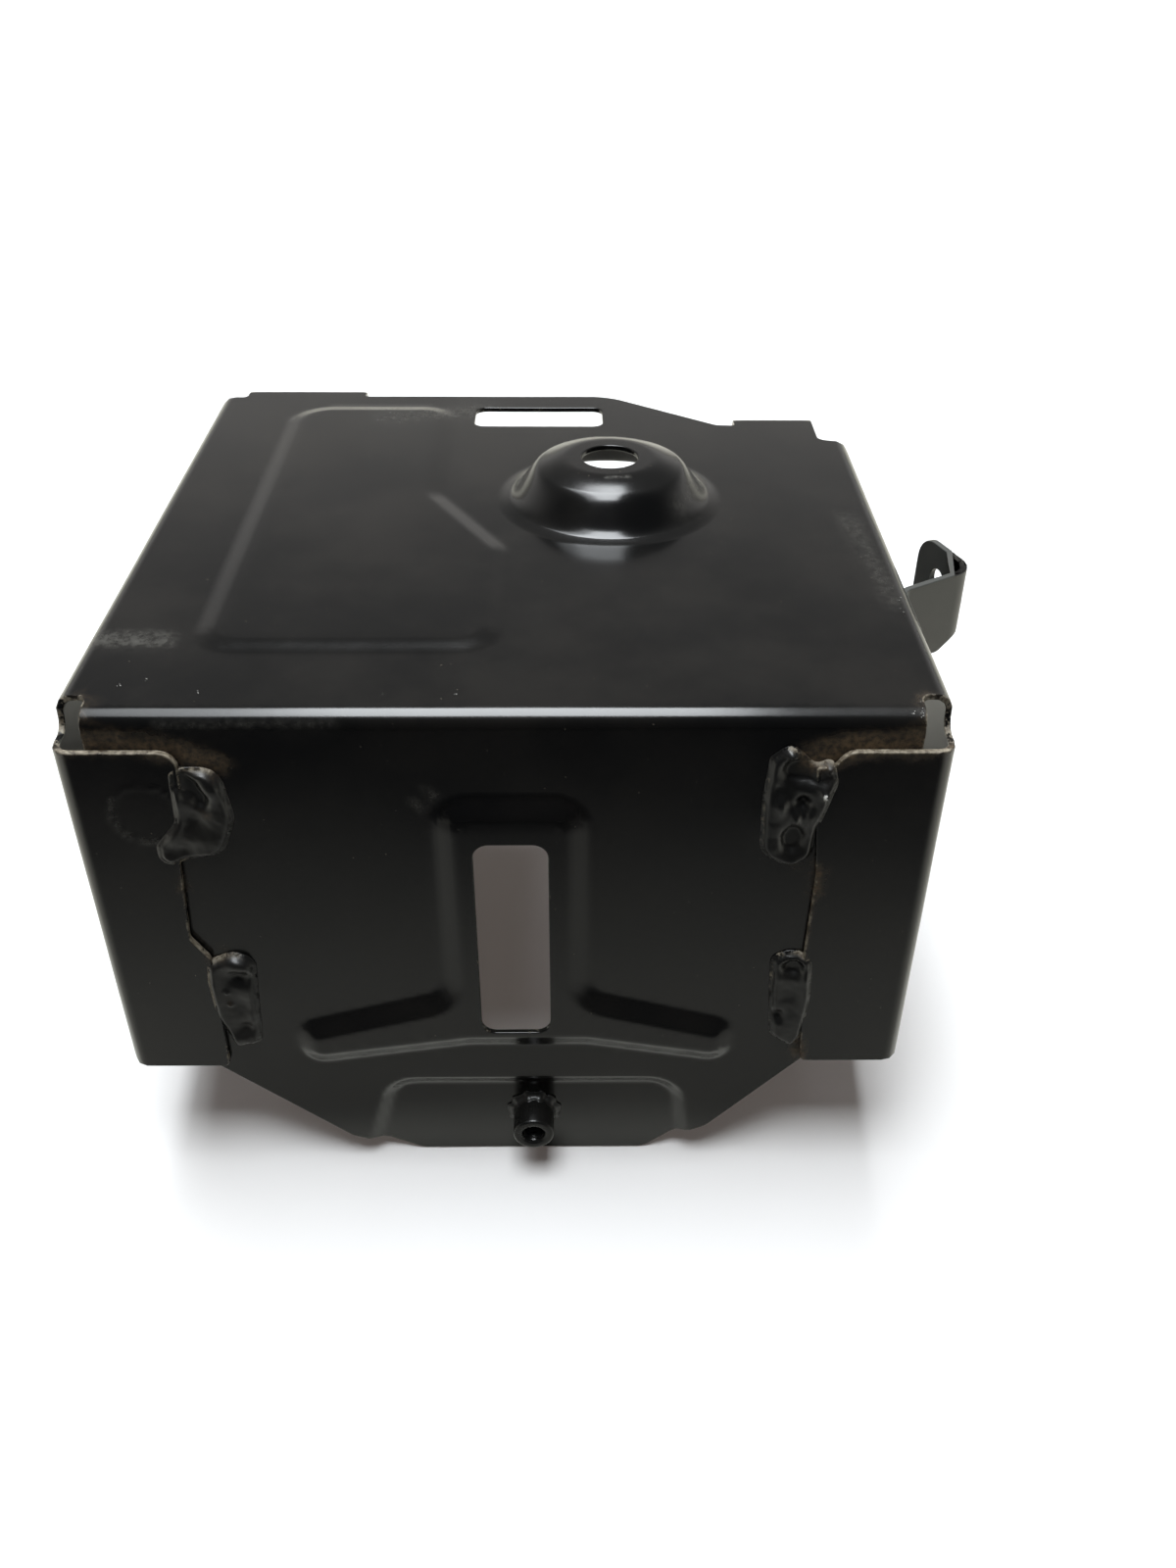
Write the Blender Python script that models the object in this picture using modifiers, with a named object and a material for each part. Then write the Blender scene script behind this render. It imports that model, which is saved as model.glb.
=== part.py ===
"""Folded sheet-steel carrier for a hydraulic reservoir, open at the bottom and at the rear.

One blank is embossed and then folded into a top panel, a front panel with a lower tab, two side
walls and two corner flanges, which lap over the front panel and are welded to it. A threaded boss
is welded to the tab, and a bent hook is welded to the right-hand wall.

Design lengths are in millimetres. X runs to the right, Y from the front panel to the rear, and Z up.
The design's zero is the middle of the edge where the outer faces of the top and front panels would
meet. An empty shifts it, so that the model stands on Z = 0 around its own middle.
"""
import math

import bmesh
import bpy
from mathutils import Vector
from mathutils.geometry import delaunay_2d_cdt

MM = 0.001                  # metres in a millimetre
GAP = 0.3                   # clearance between separate bodies that touch on the real object
COLLECTION = "reservoir_carrier"

# Sheet and folds
SHEET = 1.8
FOLD = 5.0                  # outer radius of every fold
FOLD_STEPS = 4
FOLD_LENGTH = (FOLD - SHEET / 2) * math.pi / 2

# Box
HALF_WIDTH = 120.0
LEFT_BOTTOM = -129.8
RIGHT_BOTTOM = -128.4
LEFT_REAR = 229.0
RIGHT_REAR = 184.0
REAR_EDGE = 230.0
PANEL_HALF = 111.0          # half width of the front panel, which sits between the walls
RELIEF_DEPTH = 10.0         # how far the corner reliefs run back into the top panel
FLANGE_TOP = -10.4

# Lower tab of the front panel
TAB_BOTTOM = -175.5
TAB_DEPTH = 3.0

# Rear lips, folded down from the top panel
LEFT_LIP = (-110.0, -64.0)
LEFT_LIP_LINE = 233.7       # where the lip starts to turn down
RIGHT_LIP = (79.4, 109.2)
RIGHT_LIP_LINE = 204.3
LIP_DROP = 26.0

# Embossed forms: how far each stands out of its panel, and how wide its sloping border is
PLATEAU_RISE = 1.2
PLATEAU_SLOPE = 6.5
RIB_RISE = 3.0
RIB_SLOPE = 8.0
TAB_SLOPE = 8.0

# Dome in the top panel
DOME_CENTRE = (30.5, 135.3)
DOME_HOLE = 9.5
DOME_STEPS = [(1.8, 38.5, 29.0),        # the flared foot: its rise, and the radii where it starts and ends
              (8.2, 34.0, 23.8),        # the steep flank
              (4.5, 32.0, 14.0)]        # the crowned top
DOME_RINGS = [14.0, 18.5, 23.0, 26.0, 28.6, 31.2, 33.2, 34.8, 36.6, 38.5]
ROUND_STEPS = 32

# Threaded boss on the tab
BOSS_CENTRE = (5.1, -156.2)
BOSS_RADIUS = 6.5
BOSS_BORE = 3.35
BOSS_END = -8.2
BOSS_CHAMFER = 0.7
BOSS_WELD_LEG = 2.6

# Bent hook on the right-hand wall
HOOK_SHEET = 2.2
HOOK_TOP = -8.2
HOOK_BOTTOM = -36.0
HOOK_END_BOTTOM = -32.0     # the strip narrows before its bend
HOOK_TAPER = (45.0, 51.0)   # distances along the strip over which it narrows
HOOK_HOLE = 3.6
HOOK_HOLE_INSET = 12.0      # from the hook's free end
HOOK_HOLE_HEIGHT = -20.0
HOOK_CORNER = 8.0           # at the top of the free end
HOOK_LOWER_CORNER = 5.0
HOOK_WELD_Y = 71.0
HOOK_WELD_LENGTH = 18.0
HOOK_WELD_RADIUS = 1.9


# ---------------------------------------------------------------- scene and small helpers

def clear_scene():
    for item in list(bpy.data.objects):
        bpy.data.objects.remove(item, do_unlink=True)


def new_collection(name):
    group = bpy.data.collections.new(name)
    bpy.context.scene.collection.children.link(group)
    return group


def painted_steel(name, colour, roughness):
    material = bpy.data.materials.new(name)
    material.use_nodes = True
    shader = material.node_tree.nodes["Principled BSDF"]
    shader.inputs["Base Color"].default_value = (*colour, 1.0)
    shader.inputs["Roughness"].default_value = roughness
    shader.inputs["Metallic"].default_value = 0.0
    shader.inputs["Coat Weight"].default_value = 0.3
    return material


def mesh_from(name, points, edges, faces):
    """A mesh whose points are given in millimetres."""
    mesh = bpy.data.meshes.new(name)
    mesh.from_pydata([Vector(p) * MM for p in points], edges, faces)
    mesh.update()
    return mesh


def mesh_of(name, shape):
    """Turn an edited shape into a mesh."""
    mesh = bpy.data.meshes.new(name)
    shape.to_mesh(mesh)
    shape.free()
    return mesh


def add_part(name, mesh, group, frame, material):
    part = bpy.data.objects.new(name, mesh)
    part.parent = frame
    group.objects.link(part)
    mesh.materials.clear()
    mesh.materials.append(material)
    mesh.shade_smooth()
    mesh.set_sharp_from_angle(angle=math.radians(35))
    return part


def add_cutter(name, mesh, group, frame):
    cutter = bpy.data.objects.new(name, mesh)
    cutter.parent = frame
    cutter.hide_render = True
    cutter.display_type = "WIRE"
    group.objects.link(cutter)
    return cutter


def cut(part, cutter):
    step = part.modifiers.new("cut_" + cutter.name, "BOOLEAN")
    step.operation = "DIFFERENCE"
    step.solver = "EXACT"
    step.object = cutter


# ---------------------------------------------------------------- outlines

def rounded(corners, steps=5):
    """Closed outline through (x, y, radius) corners, with each radius as an arc."""
    outline = []
    for i, (x, y, radius) in enumerate(corners):
        here = Vector((x, y))
        before = (Vector(corners[i - 1][:2]) - here).normalized()
        after = (Vector(corners[(i + 1) % len(corners)][:2]) - here).normalized()
        if radius == 0:
            outline.append(here)
            continue
        half = before.angle(after) / 2
        centre = here + (before + after).normalized() * radius / math.sin(half)
        start = here + before * radius / math.tan(half) - centre
        turn = before.angle_signed(after)
        sweep = math.copysign(math.pi - 2 * half, turn)
        for k in range(steps + 1):
            angle = sweep * k / steps
            spoke = Vector((start.x * math.cos(angle) - start.y * math.sin(angle),
                            start.x * math.sin(angle) + start.y * math.cos(angle)))
            outline.append(centre + spoke)
    return outline


def circle(centre, radius, steps=ROUND_STEPS):
    turn = 2 * math.pi / steps
    middle = Vector(centre)
    return [middle + radius * Vector((math.cos(turn * k), math.sin(turn * k))) for k in range(steps)]


def is_inside(outline, point):
    inside = False
    for a, b in zip(outline, outline[1:] + outline[:1]):
        if (a.y > point.y) != (b.y > point.y):
            if point.x < a.x + (point.y - a.y) * (b.x - a.x) / (b.y - a.y):
                inside = not inside
    return inside


def distance_to(outline, point):
    """Shortest distance from a point to a closed outline."""
    nearest = math.inf
    for a, b in zip(outline, outline[1:] + outline[:1]):
        edge = b - a
        share = min(max((point - a).dot(edge) / edge.length_squared, 0.0), 1.0)
        nearest = min(nearest, (point - a - edge * share).length)
    return nearest


def inset(outline, distance):
    """The outline moved inwards. Its outer corners are rounder than the distance."""
    moved = []
    for i, here in enumerate(outline):
        before = (here - outline[i - 1]).normalized()
        after = (outline[(i + 1) % len(outline)] - here).normalized()
        side = Vector((-before.y - after.y, before.x + after.x)).normalized()
        lean = max(side.dot(Vector((-before.y, before.x))), 0.5)
        step = side * distance / lean
        if not is_inside(outline, here + side * 0.01):
            step = -step
        moved.append(here + step)
    return moved


def filled(edge, holes, loops, lines):
    """Triangles that fill an edge but not its holes, with sides along the given loops and lines."""
    points, sides = [], []
    for loop in [edge] + holes + loops:
        first = len(points)
        points += loop
        sides += [(first + k, first + (k + 1) % len(loop)) for k in range(len(loop))]
    for line in lines:
        sides.append((len(points), len(points) + 1))
        points += line
    flat, _, triangles, *_ = delaunay_2d_cdt(points, sides, [], 0, 0.001)
    kept = []
    for face in triangles:
        middle = sum((flat[k] for k in face), Vector((0.0, 0.0))) / len(face)
        if is_inside(edge, middle) and not any(is_inside(hole, middle) for hole in holes):
            kept.append(face)
    used = sorted({k for face in kept for k in face})
    place = {old: new for new, old in enumerate(used)}
    return [flat[k] for k in used], [[place[k] for k in face] for face in kept]


# ---------------------------------------------------------------- flat pattern of the blank

FLANGE_FOLD = FOLD - SHEET - GAP            # where the walls start to turn into their flanges


def flat_front(z):
    """Where a height on the front panel lies in the flat blank."""
    return FOLD - FOLD_LENGTH - (-z - FOLD)


def flat_wall(z):
    """How far from the middle a height on a side wall lies in the flat blank."""
    return HALF_WIDTH - FOLD + FOLD_LENGTH + (-z - FOLD)


def flat_flange(x):
    """Where a distance from the middle on a corner flange lies in the flat blank."""
    return FLANGE_FOLD - FOLD_LENGTH - (HALF_WIDTH - FOLD - x)


def flat_lip(edge, z):
    return edge + FOLD_LENGTH + (-z - FOLD)


def flange_corners(side, inner_edge):
    """Corners of a flange and the wall's front, from the relief down to the wall's bottom."""
    corners = [(side * flat_wall(FLANGE_TOP), RELIEF_DEPTH, 4.0)]
    corners += [(side * flat_wall(z), flat_flange(x), radius) for x, z, radius in inner_edge]
    return corners


LEFT_FLANGE_EDGE = [(86.5, FLANGE_TOP, 5.0), (87.0, -22.0, 2.0), (91.6, -48.0, 4.0), (93.4, -76.0, 3.0),
                    (88.6, -84.0, 3.0), (89.6, LEFT_BOTTOM, 2.0)]
RIGHT_FLANGE_EDGE = [(91.0, FLANGE_TOP, 5.0), (87.6, -15.2, 3.0), (82.8, -15.6, 1.0), (86.6, -54.0, 8.0),
                     (86.0, -84.0, 8.0), (89.2, RIGHT_BOTTOM, 2.0)]


def blank_outline():
    """The blank's edge, from the tab up its left side, over the rear and down its right side."""
    left_lip = flat_lip(LEFT_LIP_LINE, -LIP_DROP)
    right_lip = flat_lip(RIGHT_LIP_LINE, -LIP_DROP)
    tab_left = [(-32.5, flat_front(TAB_BOTTOM), 7.0), (-43.0, flat_front(-170.2), 5.0),
                (-55.0, flat_front(-165.7), 5.0), (-PANEL_HALF, flat_front(-116.7), 2.0)]
    left_corner = [(-PANEL_HALF, RELIEF_DEPTH, 3.0)]
    left_wall = flange_corners(-1, LEFT_FLANGE_EDGE) + [(-flat_wall(LEFT_BOTTOM), LEFT_REAR, 5.0)]
    rear = [(LEFT_LIP[0], LEFT_REAR, 2.0), (LEFT_LIP[0], left_lip, 6.0), (LEFT_LIP[1], left_lip, 6.0),
            (LEFT_LIP[1] + 0.5, REAR_EDGE, 1.5), (32.0, REAR_EDGE, 22.0), (72.5, 200.5, 5.0),
            (RIGHT_LIP[0], 200.0, 1.5), (RIGHT_LIP[0], right_lip, 5.0), (RIGHT_LIP[1], right_lip, 5.0),
            (RIGHT_LIP[1], 186.5, 3.5), (HALF_WIDTH - FOLD, 185.0, 5.0)]
    right_wall = [(flat_wall(RIGHT_BOTTOM), RIGHT_REAR, 5.0)] + flange_corners(1, RIGHT_FLANGE_EDGE)[::-1]
    right_corner = [(PANEL_HALF, RELIEF_DEPTH, 3.0)]
    tab_right = [(PANEL_HALF, flat_front(-106.0), 2.0), (61.5, flat_front(-161.6), 7.0),
                 (52.5, flat_front(-166.0), 5.0), (41.5, flat_front(TAB_BOTTOM), 6.0)]
    return rounded(tab_left + left_corner + left_wall + rear + right_wall + right_corner + tab_right, 4)


def front_slot():
    top, bottom = flat_front(-41.0), flat_front(-114.5)
    return rounded([(-10.0, top, 4.5), (-10.0, bottom, 4.5), (11.0, bottom, 4.5), (11.0, top, 4.5)], 4)


def top_slot():
    return rounded([(-19.0, 199.0, 4.0), (29.5, 199.0, 4.0), (29.5, 217.8, 4.0), (-19.0, 217.8, 4.0)], 4)


# ---------------------------------------------------------------- embossed forms, in the flat blank

def plateau():
    return rounded([(-91.0, 31.0, 14.0), (-91.0, 219.5, 18.0), (-25.0, 219.5, 14.0), (-25.0, 137.0, 10.0),
                    (-1.0, 96.5, 14.0), (-1.0, 31.0, 14.0)])


def rib():
    """Stem round the front slot, standing on two arms that slope down to the sides."""
    corners = [(-22.5, -25.0, 12.0), (-22.5, -98.5, 7.0), (-69.5, -112.0, 9.5), (-69.0, -133.0, 9.5),
               (-14.0, -124.0, 20.0), (22.0, -124.0, 20.0), (70.0, -133.0, 9.5), (69.5, -111.5, 9.5),
               (24.0, -98.5, 7.0), (24.0, -25.0, 12.0)]
    return rounded([(x, flat_front(z), radius) for x, z, radius in corners])


def tab_recess():
    """Recess of the tab, which runs out past the tab's lower edge."""
    corners = [(-43.0, -137.0, 14.0), (-56.0, -190.0, 9.0), (59.5, -190.0, 9.0), (54.2, -137.0, 14.0)]
    return rounded([(x, flat_front(z), radius) for x, z, radius in corners])


FORMS = [(plateau(), PLATEAU_SLOPE, PLATEAU_RISE), (rib(), RIB_SLOPE, RIB_RISE),
         (tab_recess(), TAB_SLOPE, -TAB_DEPTH)]


def dome_rise(radius):
    """Height of the dome at a distance from its middle. Each of its steps is rounded at both ends."""
    height = 0.0
    for step, foot, head in DOME_STEPS:
        share = min(max((foot - radius) / (foot - head), 0.0), 1.0)
        height += step * share * share * (3 - 2 * share)
    return height


def rise(point):
    """How far the blank's outer face is pressed out at a point of the flat pattern."""
    height = dome_rise((point - Vector(DOME_CENTRE)).length)
    for outline, slope, depth in FORMS:
        if is_inside(outline, point):
            height += depth * min(distance_to(outline, point) / slope, 1.0)
    return height


# ---------------------------------------------------------------- folding

def fold(past, height):
    """Carry a point that lies past a fold line round the fold: along the panel, and out of it."""
    if past < FOLD_LENGTH:
        angle = past / FOLD_LENGTH * math.pi / 2
        return (FOLD + height) * math.sin(angle), (FOLD + height) * math.cos(angle) - FOLD
    return FOLD + height, FOLD_LENGTH - FOLD - past


def folded(point, height):
    """Place a point of the flat blank, at a height above its outer face, on the folded box."""
    x, y = point
    wall_line = HALF_WIDTH - FOLD
    if abs(x) > wall_line:
        if y < FLANGE_FOLD:
            along, height = fold(FLANGE_FOLD - y, height)
            y = FLANGE_FOLD - along
        along, z = fold(abs(x) - wall_line, height)
        return math.copysign(wall_line + along, x), y, z
    if y < FOLD:
        along, z = fold(FOLD - y, height)
        return x, FOLD - along, z
    lip_line = RIGHT_LIP_LINE if x > RIGHT_LIP[0] - 1.0 else LEFT_LIP_LINE
    if y > lip_line:
        along, z = fold(y - lip_line, height)
        return x, lip_line + along, z
    return x, y, height


def fold_lines():
    """Lines across the flat blank where its mesh has to bend."""
    wall_line = HALF_WIDTH - FOLD
    deep = flat_wall(LEFT_BOTTOM) + 1.0
    lines = []
    for k in range(FOLD_STEPS + 1):
        step = FOLD_LENGTH * k / FOLD_STEPS
        lines.append(((-PANEL_HALF - 1.0, FOLD - step), (PANEL_HALF + 1.0, FOLD - step)))
        for (low, high), line in ((LEFT_LIP, LEFT_LIP_LINE), (RIGHT_LIP, RIGHT_LIP_LINE)):
            lines.append(((low - 1.0, line + step), (high + 1.0, line + step)))
        for side in (-1, 1):
            x = side * (wall_line + step)
            lines.append(((x, FLANGE_FOLD), (x, REAR_EDGE)))
            y = FLANGE_FOLD - step
            lines.append(((side * (wall_line + FOLD_LENGTH), y), (side * deep, y)))
    return [(Vector(a), Vector(b)) for a, b in lines]


def add_carrier(group, frame, material):
    holes = [front_slot(), top_slot(), circle(DOME_CENTRE, DOME_HOLE)]
    crests = []
    for outline, slope, _ in FORMS:
        crests += [outline, inset(outline, slope)]
    crests += [circle(DOME_CENTRE, radius) for radius in DOME_RINGS]
    flat, faces = filled(blank_outline(), holes, crests, fold_lines())
    mesh = mesh_from("carrier_pressing", [folded(point, rise(point)) for point in flat], [], faces)
    part = add_part("carrier_pressing", mesh, group, frame, material)
    sheet = part.modifiers.new("sheet", "SOLIDIFY")
    sheet.thickness = SHEET * MM
    sheet.offset = -1.0
    sheet.use_even_offset = True
    return part


# ---------------------------------------------------------------- weld beads on the corner flanges

# Middle (x, z) and half size (x, z) of each bead
BEADS = {
    "weld_upper_left": ((-83.6, -33.0), (8.4, 16.0)),
    "weld_lower_left": ((-86.0, -104.0), (7.2, 19.0)),
    "weld_upper_right": ((80.8, -31.5), (10.6, 20.0)),
    "weld_lower_right": ((83.8, -102.0), (6.8, 17.5)),
}
BEAD_HEIGHT = 5.2


def flange_cutter_mesh(side, inner_edge):
    """The flange's inner edge with the clearance round it, as a solid to cut the beads with."""
    reach = HALF_WIDTH - 10.0
    corners = [(side * (x - GAP), z) for x, z, _ in inner_edge]
    corners[0] = (corners[0][0], FLANGE_TOP + GAP)
    outline = corners + [(side * reach, inner_edge[-1][1]), (side * reach, FLANGE_TOP + GAP)]
    shape = bmesh.new()
    outer_face = -(SHEET + 2 * GAP)
    ring = [shape.verts.new(Vector((x, outer_face, z)) * MM) for x, z in outline]
    face = shape.faces.new(ring)
    moved = bmesh.ops.extrude_face_region(shape, geom=[face])["geom"]
    ends = [item for item in moved if isinstance(item, bmesh.types.BMVert)]
    bmesh.ops.translate(shape, verts=ends, vec=(0.0, 2 * SHEET * MM, 0.0))
    bmesh.ops.recalc_face_normals(shape, faces=shape.faces)
    return mesh_of("flange_cutter", shape)


def bead_mesh(centre, half_size):
    """Half an ellipsoid, flat against the front panel."""
    shape = bmesh.new()
    bmesh.ops.create_uvsphere(shape, u_segments=20, v_segments=14, radius=1.0)
    bmesh.ops.scale(shape, verts=shape.verts, vec=(half_size[0] * MM, BEAD_HEIGHT * MM, half_size[1] * MM))
    bmesh.ops.translate(shape, verts=shape.verts, vec=Vector((centre[0], 0.0, centre[1])) * MM)
    every = shape.verts[:] + shape.edges[:] + shape.faces[:]
    bmesh.ops.bisect_plane(shape, geom=every, plane_co=(0.0, -GAP * MM, 0.0),
                           plane_no=(0.0, 1.0, 0.0), clear_outer=True)
    bmesh.ops.holes_fill(shape, edges=shape.edges, sides=0)
    bmesh.ops.recalc_face_normals(shape, faces=shape.faces)
    return mesh_of("weld", shape)


def add_welds(group, cutters, frame, material):
    flange = {
        "left": add_cutter("left_flange", flange_cutter_mesh(-1, LEFT_FLANGE_EDGE), cutters, frame),
        "right": add_cutter("right_flange", flange_cutter_mesh(1, RIGHT_FLANGE_EDGE), cutters, frame),
    }
    for name, (centre, half_size) in BEADS.items():
        bead = add_part(name, bead_mesh(centre, half_size), group, frame, material)
        cut(bead, flange[name.split("_")[-1]])


# ---------------------------------------------------------------- threaded boss and its weld

def turned(name, profile, group, frame, material):
    """A ring turned round the boss's axis from a closed (radius, distance forwards) profile."""
    sides = [(k, (k + 1) % len(profile)) for k in range(len(profile))]
    mesh = mesh_from(name, [(radius, 0.0, forwards) for radius, forwards in profile], sides, [])
    part = add_part(name, mesh, group, frame, material)
    part.location = Vector((BOSS_CENTRE[0], TAB_DEPTH, BOSS_CENTRE[1])) * MM
    part.rotation_euler = (math.pi / 2, 0.0, 0.0)
    turn = part.modifiers.new("turn", "SCREW")
    turn.steps = ROUND_STEPS
    turn.render_steps = ROUND_STEPS
    turn.use_merge_vertices = True
    turn.merge_threshold = 0.00001
    return part


def add_boss(group, frame, material):
    length = TAB_DEPTH - BOSS_END
    profile = [(BOSS_BORE + BOSS_CHAMFER, length), (BOSS_RADIUS - BOSS_CHAMFER, length),
               (BOSS_RADIUS, length - BOSS_CHAMFER), (BOSS_RADIUS, GAP), (BOSS_BORE, GAP),
               (BOSS_BORE, length - BOSS_CHAMFER)]
    turned("threaded_boss", profile, group, frame, material)
    inner = BOSS_RADIUS + GAP
    fillet = [(inner, GAP + BOSS_WELD_LEG), (inner + 0.5 * BOSS_WELD_LEG, GAP + 0.6 * BOSS_WELD_LEG),
              (inner + BOSS_WELD_LEG, GAP + 0.3), (inner + BOSS_WELD_LEG, GAP), (inner, GAP)]
    turned("boss_weld", fillet, group, frame, material)


# ---------------------------------------------------------------- hook on the right-hand wall

# Corners (x, y, radius) of the strip's middle line, seen from above
HOOK_PATH = [(121.5, 58.0, 0.0), (121.5, 84.3, 5.0), (147.1, 99.2, 8.0), (136.9, 125.3, 0.0)]


def hook_path():
    """Middle line of the strip, seen from above: along the wall, outwards, and back to the rear."""
    path = []
    for i, (x, y, radius) in enumerate(HOOK_PATH):
        if radius == 0:
            path.append(Vector((x, y)))
            continue
        corner = rounded([(*HOOK_PATH[i - 1][:2], 0), (x, y, radius), (*HOOK_PATH[i + 1][:2], 0)], 5)
        path += corner[1:-1]
    return path


def hook_outline(length):
    """The strip laid flat. It narrows towards its free end, which has round corners."""
    return rounded([(0.0, HOOK_BOTTOM, 2.0), (HOOK_TAPER[0], HOOK_BOTTOM, 4.0),
                    (HOOK_TAPER[1], HOOK_END_BOTTOM, 8.0), (length, HOOK_END_BOTTOM, HOOK_LOWER_CORNER),
                    (length, HOOK_TOP, HOOK_CORNER), (0.0, HOOK_TOP, 2.0)], 5)


def bent_along(path, stations, point):
    """Place a point of the flat strip on the path: its x is the distance along the path."""
    k = 0
    while k < len(path) - 2 and point.x > stations[k + 1]:
        k += 1
    share = (point.x - stations[k]) / (stations[k + 1] - stations[k])
    place = path[k].lerp(path[k + 1], share)
    return place.x, place.y, point.y


def add_hook(group, frame, material):
    path = hook_path()
    stations = [0.0]
    for a, b in zip(path, path[1:]):
        stations.append(stations[-1] + (b - a).length)
    length = stations[-1]
    hole = circle((length - HOOK_HOLE_INSET, HOOK_HOLE_HEIGHT), HOOK_HOLE, 20)
    bends = [[Vector((x, HOOK_BOTTOM - 1.0)), Vector((x, HOOK_TOP + 1.0))] for x in stations[1:-1]]
    flat, faces = filled(hook_outline(length), [hole], [], bends)
    mesh = mesh_from("side_hook", [bent_along(path, stations, point) for point in flat], [], faces)
    hook = add_part("side_hook", mesh, group, frame, material)
    strip = hook.modifiers.new("strip", "SOLIDIFY")
    strip.thickness = HOOK_SHEET * MM
    strip.offset = 0.0
    strip.use_even_offset = True


def add_hook_welds(group, frame, material):
    """A short bead along the top and the bottom edge of the hook's foot."""
    size = Vector((HOOK_WELD_RADIUS, HOOK_WELD_LENGTH / 2, HOOK_WELD_RADIUS))
    for name, height in (("hook_weld_top", HOOK_TOP + GAP), ("hook_weld_bottom", HOOK_BOTTOM - GAP)):
        shape = bmesh.new()
        bmesh.ops.create_uvsphere(shape, u_segments=12, v_segments=10, radius=1.0)
        bmesh.ops.scale(shape, verts=shape.verts, vec=size * MM)
        place = Vector((HALF_WIDTH + GAP, HOOK_WELD_Y, height))
        bmesh.ops.translate(shape, verts=shape.verts, vec=place * MM)
        upwards = 1.0 if height > (HOOK_TOP + HOOK_BOTTOM) / 2 else -1.0
        for normal in ((1.0, 0.0, 0.0), (0.0, 0.0, upwards)):
            every = shape.verts[:] + shape.edges[:] + shape.faces[:]
            bmesh.ops.bisect_plane(shape, geom=every, plane_co=place * MM, plane_no=normal,
                                   clear_inner=True)
            bmesh.ops.holes_fill(shape, edges=shape.edges, sides=0)
        bmesh.ops.recalc_face_normals(shape, faces=shape.faces)
        add_part(name, mesh_of(name, shape), group, frame, material)


# ---------------------------------------------------------------- assembly

def stand_on_origin(group, frame):
    """Shift the whole model, so that the middle of its box's underside is the origin."""
    bpy.context.view_layer.update()
    shapes = bpy.context.evaluated_depsgraph_get()
    corners = []
    for part in group.objects:
        if part.type == "MESH":
            shown = part.evaluated_get(shapes)
            corners += [shown.matrix_world @ point.co for point in shown.data.vertices]
    low = Vector([min(point[axis] for point in corners) for axis in range(3)])
    high = Vector([max(point[axis] for point in corners) for axis in range(3)])
    frame.location = -Vector(((low.x + high.x) / 2, (low.y + high.y) / 2, low.z))


def main():
    clear_scene()
    group = new_collection(COLLECTION)
    cutters = new_collection("cutters")
    frame = bpy.data.objects.new("origin", None)
    group.objects.link(frame)
    black = painted_steel("black_paint", (0.022, 0.023, 0.022), 0.34)
    weld_paint = painted_steel("painted_weld", (0.030, 0.030, 0.028), 0.42)
    hook_paint = painted_steel("hook_paint", (0.024, 0.028, 0.026), 0.36)
    boss_paint = painted_steel("boss_paint", (0.035, 0.033, 0.031), 0.38)
    add_carrier(group, frame, black)
    add_welds(group, cutters, frame, weld_paint)
    add_boss(group, frame, boss_paint)
    add_hook(group, frame, hook_paint)
    add_hook_welds(group, frame, weld_paint)
    stand_on_origin(group, frame)


main()
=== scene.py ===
"""Looks of a folded and welded sheet-steel reservoir carrier, painted black.

The pressing, the hook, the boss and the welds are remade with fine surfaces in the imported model's place.
Design lengths are in millimetres: X to the right from the middle, Y to the rear from the front panel's
outer face, Z up from the top panel's outer face. place_of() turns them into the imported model's metres.
"""

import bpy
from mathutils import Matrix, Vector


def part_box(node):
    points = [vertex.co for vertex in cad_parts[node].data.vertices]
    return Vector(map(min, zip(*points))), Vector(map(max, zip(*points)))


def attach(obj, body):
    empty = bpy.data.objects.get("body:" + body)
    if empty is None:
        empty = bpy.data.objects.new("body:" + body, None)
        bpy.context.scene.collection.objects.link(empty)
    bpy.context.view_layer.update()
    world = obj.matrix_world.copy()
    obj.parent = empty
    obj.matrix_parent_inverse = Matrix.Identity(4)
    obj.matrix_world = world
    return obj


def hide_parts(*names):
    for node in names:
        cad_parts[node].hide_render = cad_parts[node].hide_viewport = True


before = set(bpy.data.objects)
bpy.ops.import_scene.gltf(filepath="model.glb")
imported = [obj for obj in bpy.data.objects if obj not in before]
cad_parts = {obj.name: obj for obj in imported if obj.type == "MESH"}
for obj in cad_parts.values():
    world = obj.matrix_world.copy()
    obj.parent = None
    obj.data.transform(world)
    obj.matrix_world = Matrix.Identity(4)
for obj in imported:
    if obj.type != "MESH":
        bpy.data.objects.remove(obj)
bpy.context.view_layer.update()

import math

import bpy
import numpy as np
from mathutils import Vector, noise
from mathutils.geometry import delaunay_2d_cdt

MM = 0.001

# ---------------- sizes of the part, as in the CAD source

SHEET = 1.8
GAP = 0.3
FOLD = 5.0
FOLD_LENGTH = (FOLD - SHEET / 2) * math.pi / 2

HALF_WIDTH = 120.0
WALL_LINE = HALF_WIDTH - FOLD
LEFT_BOTTOM = -129.8
RIGHT_BOTTOM = -128.4
LEFT_REAR = 229.0
RIGHT_REAR = 184.0
REAR_EDGE = 230.0
PANEL_HALF = 111.0
RELIEF_DEPTH = 10.0
FLANGE_TOP = -10.4
FLANGE_FOLD = FOLD - SHEET - GAP
FLANGE_FACE = -(SHEET + GAP)
TAB_BOTTOM = -175.5
TAB_DEPTH = 3.0

LEFT_LIP = (-110.0, -64.0)
LEFT_LIP_LINE = 233.7
RIGHT_LIP = (79.4, 109.2)
RIGHT_LIP_LINE = 204.3
LIP_DROP = 26.0

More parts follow.
